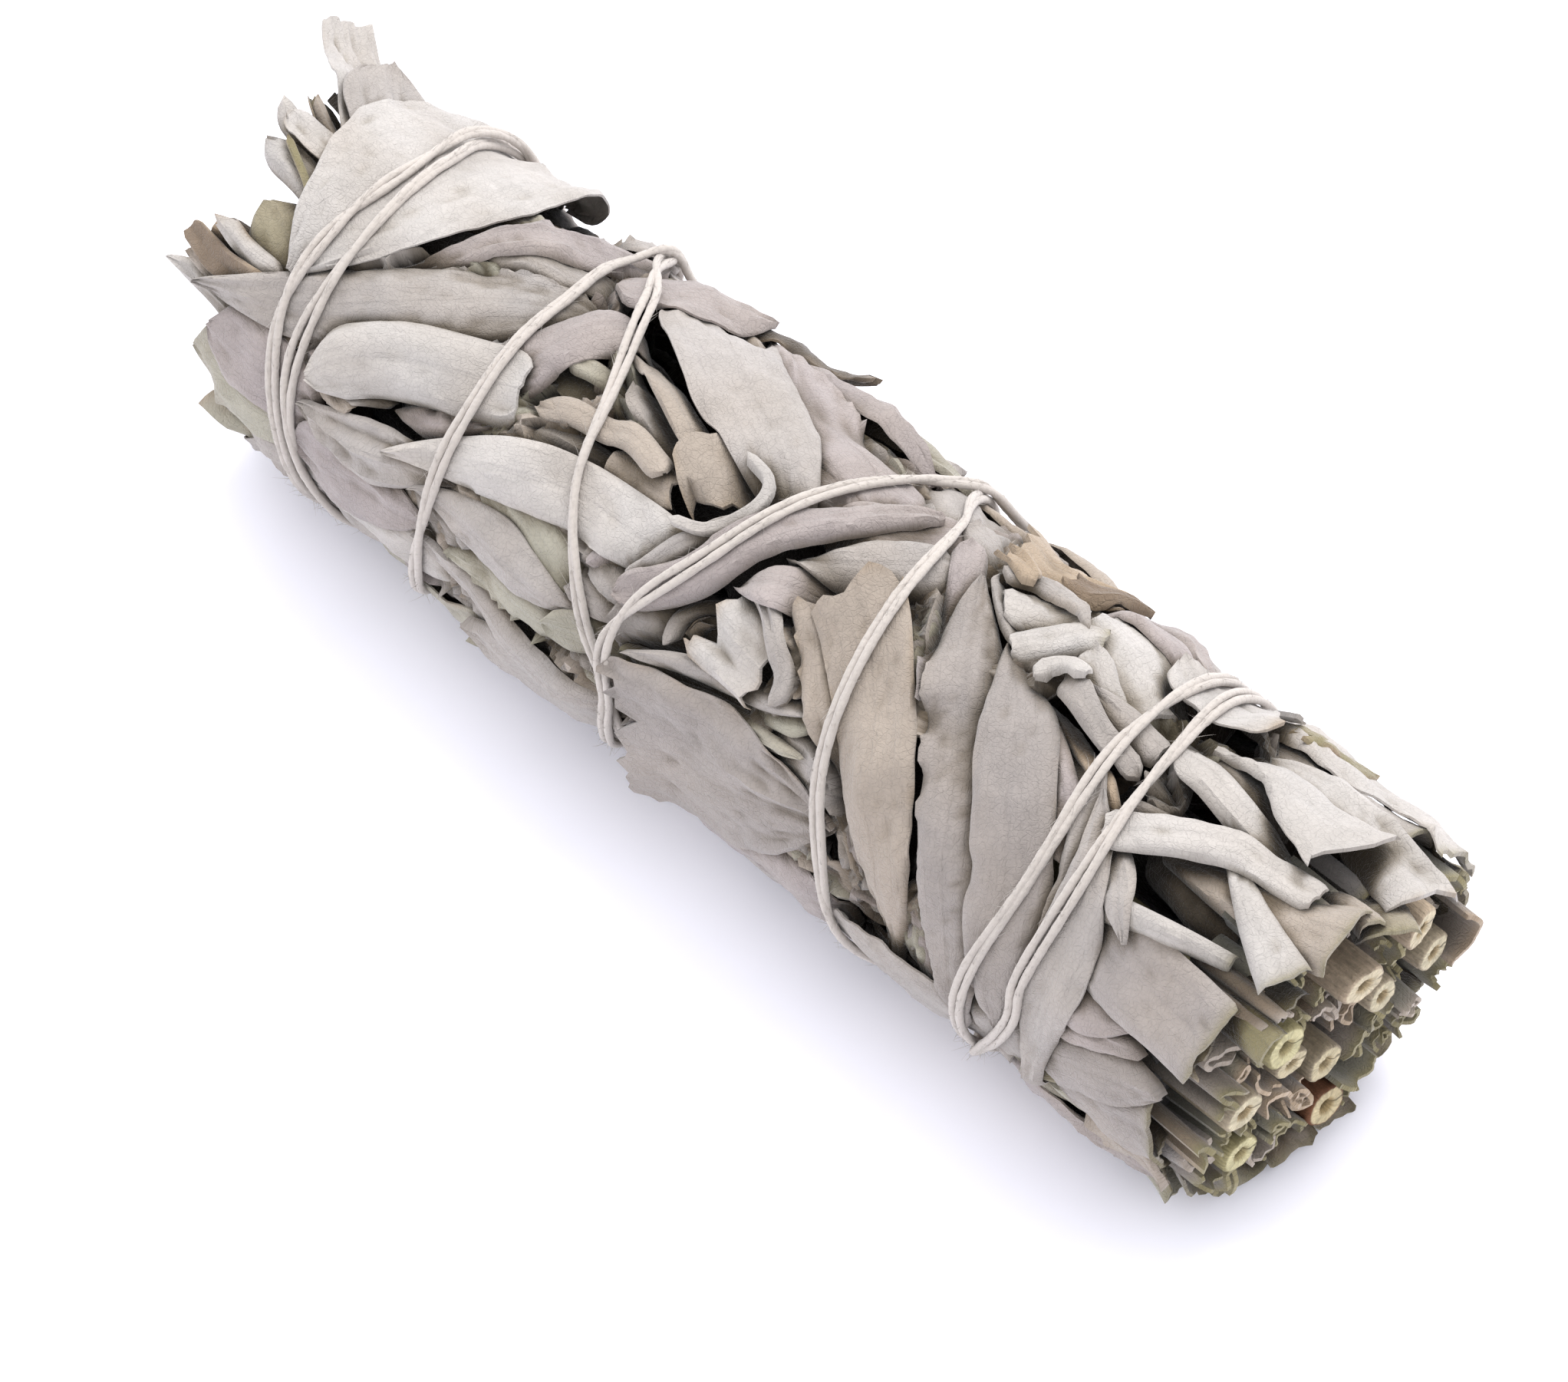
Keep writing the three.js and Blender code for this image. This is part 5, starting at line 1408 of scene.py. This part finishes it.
class Nodes:
    """A material's nodes, made by short calls."""

    def __init__(self, name):
        self.material = bpy.data.materials.new(name)
        self.material.use_nodes = True
        self.tree = self.material.node_tree
        self.shader = self.tree.nodes["Principled BSDF"]

    def add(self, kind, settings=None, **inputs):
        node = self.tree.nodes.new(kind)
        for key, value in (settings or {}).items():
            setattr(node, key, value)
        for key, value in inputs.items():
            self.set(node.inputs[key.replace("_", " ")], value)
        return node

    def set(self, socket, value):
        if isinstance(value, bpy.types.NodeSocket):
            self.tree.links.new(value, socket)
        else:
            socket.default_value = value

    def math(self, operation, *values, kind="ShaderNodeMath"):
        node = self.add(kind, {"operation": operation})
        for socket, value in zip(node.inputs, values):
            self.set(socket, value)
        return node.outputs[0]

    def multiplied(self, value, *factors):
        for factor in factors:
            value = self.math("MULTIPLY", value, factor)
        return value

    def weighed(self, *terms):
        """The sum of values, each times its weight."""
        total, *others = [self.math("MULTIPLY", value, weight) for value, weight in terms]
        for other in others:
            total = self.math("ADD", total, other)
        return total

    def ramp(self, value, low, high, to_low=0.0, to_high=1.0):
        """A value brought softly from one range to another."""
        node = self.add("ShaderNodeMapRange", {"interpolation_type": "SMOOTHSTEP"}, Value=value,
                        From_Min=low, From_Max=high, To_Min=to_low, To_Max=to_high)
        return node.outputs["Result"]

    def scaled(self, vector, factor):
        """A vector or a colour times a value."""
        node = self.add("ShaderNodeVectorMath", {"operation": "SCALE"}, Scale=factor)
        self.set(node.inputs[0], vector)
        return node.outputs[0]

    def surface(self, along=1.0, across=1.0):
        """The surface map in mm, stretched."""
        spots = self.add("ShaderNodeUVMap", {"uv_map": "Surface"}).outputs["UV"]
        stretch = (SPOT * along, SPOT * across, 1)
        return self.add("ShaderNodeMapping", Vector=spots, Scale=stretch).outputs[0]

    def solid(self):
        """Places in the part, in mm."""
        spots = self.add("ShaderNodeTexCoord").outputs["Object"]
        return self.add("ShaderNodeMapping", Vector=spots, Scale=(1 / MM,) * 3).outputs[0]

    def noise(self, vector, scale, detail=3.0, roughness=0.55):
        node = self.add("ShaderNodeTexNoise", Vector=vector, Scale=scale, Detail=detail, Roughness=roughness)
        return node.outputs["Fac"]

    def net(self, vector, scale, width):
        """0 on the veins of a net and 1 beside them."""
        settings = {"feature": "DISTANCE_TO_EDGE", "voronoi_dimensions": "2D"}
        node = self.add("ShaderNodeTexVoronoi", settings, Vector=vector, Scale=scale)
        return self.ramp(node.outputs["Distance"], 0.0, width)

    def finish(self, shade, roughness, height, depth, **constants):
        """The material, in its mesh's own tint times a shade, with bumps by a height and a depth in mm."""
        tint = self.add("ShaderNodeAttribute", {"attribute_name": "Tint"}).outputs["Color"]
        bump = self.add("ShaderNodeBump", Height=height, Strength=1.0, Distance=depth * MM)
        return self.shine(self.scaled(tint, shade), roughness, Normal=bump.outputs["Normal"], **constants)

    def shine(self, colour, roughness, **inputs):
        for key, value in {"Base_Color": colour, "Roughness": roughness, **inputs}.items():
            self.set(self.shader.inputs[key.replace("_", " ")], value)
        return self.material


def leaf_material():
    """Dried sage leaf: felted, with a fine net of veins, a soft midrib, blotches and cracks."""
    m = Nodes("sage_leaf")
    flat = m.surface()
    bend = m.add("ShaderNodeTexNoise", {"normalize": False}, Vector=flat, Scale=0.8, Detail=1.0)
    wavy = m.math("ADD", flat, m.scaled(bend.outputs["Color"], 0.35), kind="ShaderNodeVectorMath")
    net = m.net(wavy, 1.9, 0.14)
    fine = m.net(wavy, 3.8, 0.16)
    x, y, _ = m.add("ShaderNodeSeparateXYZ", Vector=flat).outputs
    off_rib = m.math("ABSOLUTE", y)
    rib = m.ramp(off_rib, 0.1, 0.45)
    side_veins = m.ramp(m.math("PINGPONG", m.weighed((x, 0.3), (off_rib, -0.22)), 0.5), 0.0, 0.06)
    blotch = m.noise(m.solid(), 0.16, 4.0)
    speck = m.noise(m.solid(), 1.1)
    felt = m.noise(m.solid(), 5.5, 2.0, 0.7)
    cracks = m.ramp(m.noise(m.surface(0.12, 1.5), 1.0), 0.36, 0.46)
    shade = m.multiplied(
        m.ramp(net, 0, 1, 0.975, 1.0),
        m.ramp(fine, 0, 1, 0.985, 1.0),
        m.ramp(rib, 0, 1, 0.965, 1.0),
        m.ramp(blotch, 0.3, 0.7, 0.93, 1.05),
        m.ramp(speck, 0.3, 0.7, 0.965, 1.025),
        m.ramp(cracks, 0, 1, 0.96, 1.0),
    )
    height = m.weighed((net, 0.3), (fine, 0.12), (rib, 0.6), (side_veins, 0.22), (felt, 0.6), (speck, 1.2),
                       (cracks, 0.3))
    return m.finish(shade, m.ramp(felt, 0.2, 0.8, 0.82, 0.95), height, 0.11, Sheen_Weight=0.22,
                    Sheen_Roughness=0.5, Specular_IOR_Level=0.25)


def string_material():
    """Soft cotton: fibres laid in a steep twist."""
    m = Nodes("cotton_string")
    x, y, _ = m.add("ShaderNodeSeparateXYZ", Vector=m.surface()).outputs
    twist = m.ramp(m.math("PINGPONG", m.weighed((x, 1.05), (y, 1 / SPOT)), 0.5), 0.0, 0.3)
    fibre = m.noise(m.surface(0.5, 0.3), 2.6, 4.0, 0.7)
    fluff = m.noise(m.solid(), 3.4, 3.0, 0.7)
    shade = m.multiplied(m.ramp(twist, 0, 1, 0.97, 1.0), m.ramp(fluff, 0.25, 0.75, 0.95, 1.04))
    height = m.weighed((twist, 0.25), (fibre, 0.8), (fluff, 0.6))
    return m.finish(shade, m.ramp(fluff, 0.2, 0.8, 0.85, 1.0), height, 0.09, Sheen_Weight=0.3,
                    Sheen_Roughness=0.6, Specular_IOR_Level=0.2)


def stem_material():
    """Dry stalk: bark in long streaks, and rough cut wood."""
    m = Nodes("stem")
    streak = m.noise(m.surface(0.25, 2.2), 1.3, 4.0)
    grain = m.noise(m.solid(), 2.4, 4.0, 0.65)
    shade = m.multiplied(m.ramp(streak, 0.3, 0.7, 0.8, 1.1), m.ramp(grain, 0.25, 0.75, 0.82, 1.1))
    height = m.weighed((streak, 1.0), (grain, 0.7))
    return m.finish(shade, m.ramp(grain, 0.2, 0.8, 0.7, 0.9), height, 0.25, Specular_IOR_Level=0.3)


def floor_material():
    """A pale floor, hardly uneven in tone."""
    m = Nodes("pale_floor")
    clouds = m.noise(m.solid(), 0.03, 2.0)
    red, green, blue = [m.ramp(clouds, 0.3, 0.7, tone, tone + 0.02) for tone in (0.915, 0.91, 0.98)]
    colour = m.add("ShaderNodeCombineColor", Red=red, Green=green, Blue=blue).outputs["Color"]
    return m.shine(colour, 0.9, Specular_IOR_Level=0.1)


# ---------------------------------------------------------------- the scene round the bunch


def make_floor():
    HALF_WIDTH = 3.0  # metres
    mesh = bpy.data.meshes.new("floor")
    corners = [(x * HALF_WIDTH, y * HALF_WIDTH, 0) for x, y in ((-1, -1), (1, -1), (1, 1), (-1, 1))]
    mesh.from_pydata(corners, [], [(0, 1, 2, 3)])
    mesh.materials.append(floor_material())
    floor = bpy.data.objects.new("floor", mesh)
    bpy.context.collection.objects.link(floor)


def make_light(name, spot, size, watts, colour):
    """A square soft light that looks at the bunch. Distances are in metres."""
    light = bpy.data.lights.new(name, "AREA")
    light.size = size
    light.energy = watts
    light.color = colour
    lamp = bpy.data.objects.new(name, light)
    lamp.location = spot
    lamp.rotation_euler = (-Vector(spot)).to_track_quat("-Z", "Y").to_euler()
    bpy.context.collection.objects.link(lamp)


def make_world():
    world = bpy.data.worlds.new("studio")
    world.use_nodes = True
    backdrop = world.node_tree.nodes["Background"]
    backdrop.inputs["Color"].default_value = (0.97, 0.975, 1.0, 1)
    backdrop.inputs["Strength"].default_value = 1.5
    bpy.context.scene.world = world


def make_camera():
    """A camera that looks at the bunch's middle from the photograph's side. Distances are in metres."""
    TURN, RISE = math.radians(45), math.radians(51.5)
    DISTANCE = 0.620
    ASIDE, ABOVE = -0.00072, -0.00686  # of the picture's middle from the bunch's
    SENSOR, LENS = 36, 153.35
    back = Vector((math.sin(TURN) * math.cos(RISE), -math.cos(TURN) * math.cos(RISE), math.sin(RISE)))
    right = Vector((math.cos(TURN), math.sin(TURN), 0))
    up = back.cross(right)
    camera = bpy.data.cameras.new("camera")
    camera.lens = LENS
    camera.sensor_width = SENSOR
    camera.clip_start = 0.01
    eye = bpy.data.objects.new("camera", camera)
    spot = Vector(AXIS * MM) + back * DISTANCE + right * ASIDE + up * ABOVE
    eye.matrix_world = Matrix.Translation(spot) @ Matrix((right, up, back)).transposed().to_4x4()
    bpy.context.collection.objects.link(eye)
    bpy.context.scene.camera = eye


def make_bunch():
    ROUGH_REACH, CLOSE_REACH = 3.0, 0.7  # mm over which the outer leaves' level is taken
    rng = np.random.default_rng(SEED)
    relief = Relief()
    laid = lay_leaves(rng, relief)
    settled = settling(relief)
    turns, x, height = string_line(relief, settled)
    levels = [relief.blurred(relief.height, reach) for reach in (ROUGH_REACH, CLOSE_REACH)]
    bunch = Bunch(relief, string_pull(relief, settled, turns, x, height), *levels)
    leaf_look, stem_look, string_look = leaf_material(), stem_material(), string_material()
    for name, sheets in laid.items():
        leaf_piece(name, bunch, sheets, leaf_look, ("leaves",) if name == "middle_leaves" else ())
    core_piece(bunch, leaf_look)
    stem_names = sorted(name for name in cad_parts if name.startswith("stem_"))
    stems = [stem_piece(name, index, rng, stem_look) for index, name in enumerate(stem_names)]
    cut_end_piece(rng, stems, leaf_look)
    far_end_piece(rng, leaf_look)
    length = string_pieces(turns, x, crossed(turns, x, height), string_look, rng)
    print("string length, mm:", round(float(length)))


make_camera()
make_world()
make_floor()
make_light("key", spot=(-0.1, 0.6, 1.1), size=0.7, watts=14, colour=(1.0, 0.99, 0.98))
make_light("fill", spot=(-0.6, -0.5, 0.9), size=1.2, watts=2, colour=(0.98, 0.985, 1.0))
make_bunch()
bpy.context.scene.view_settings.view_transform = "Standard"
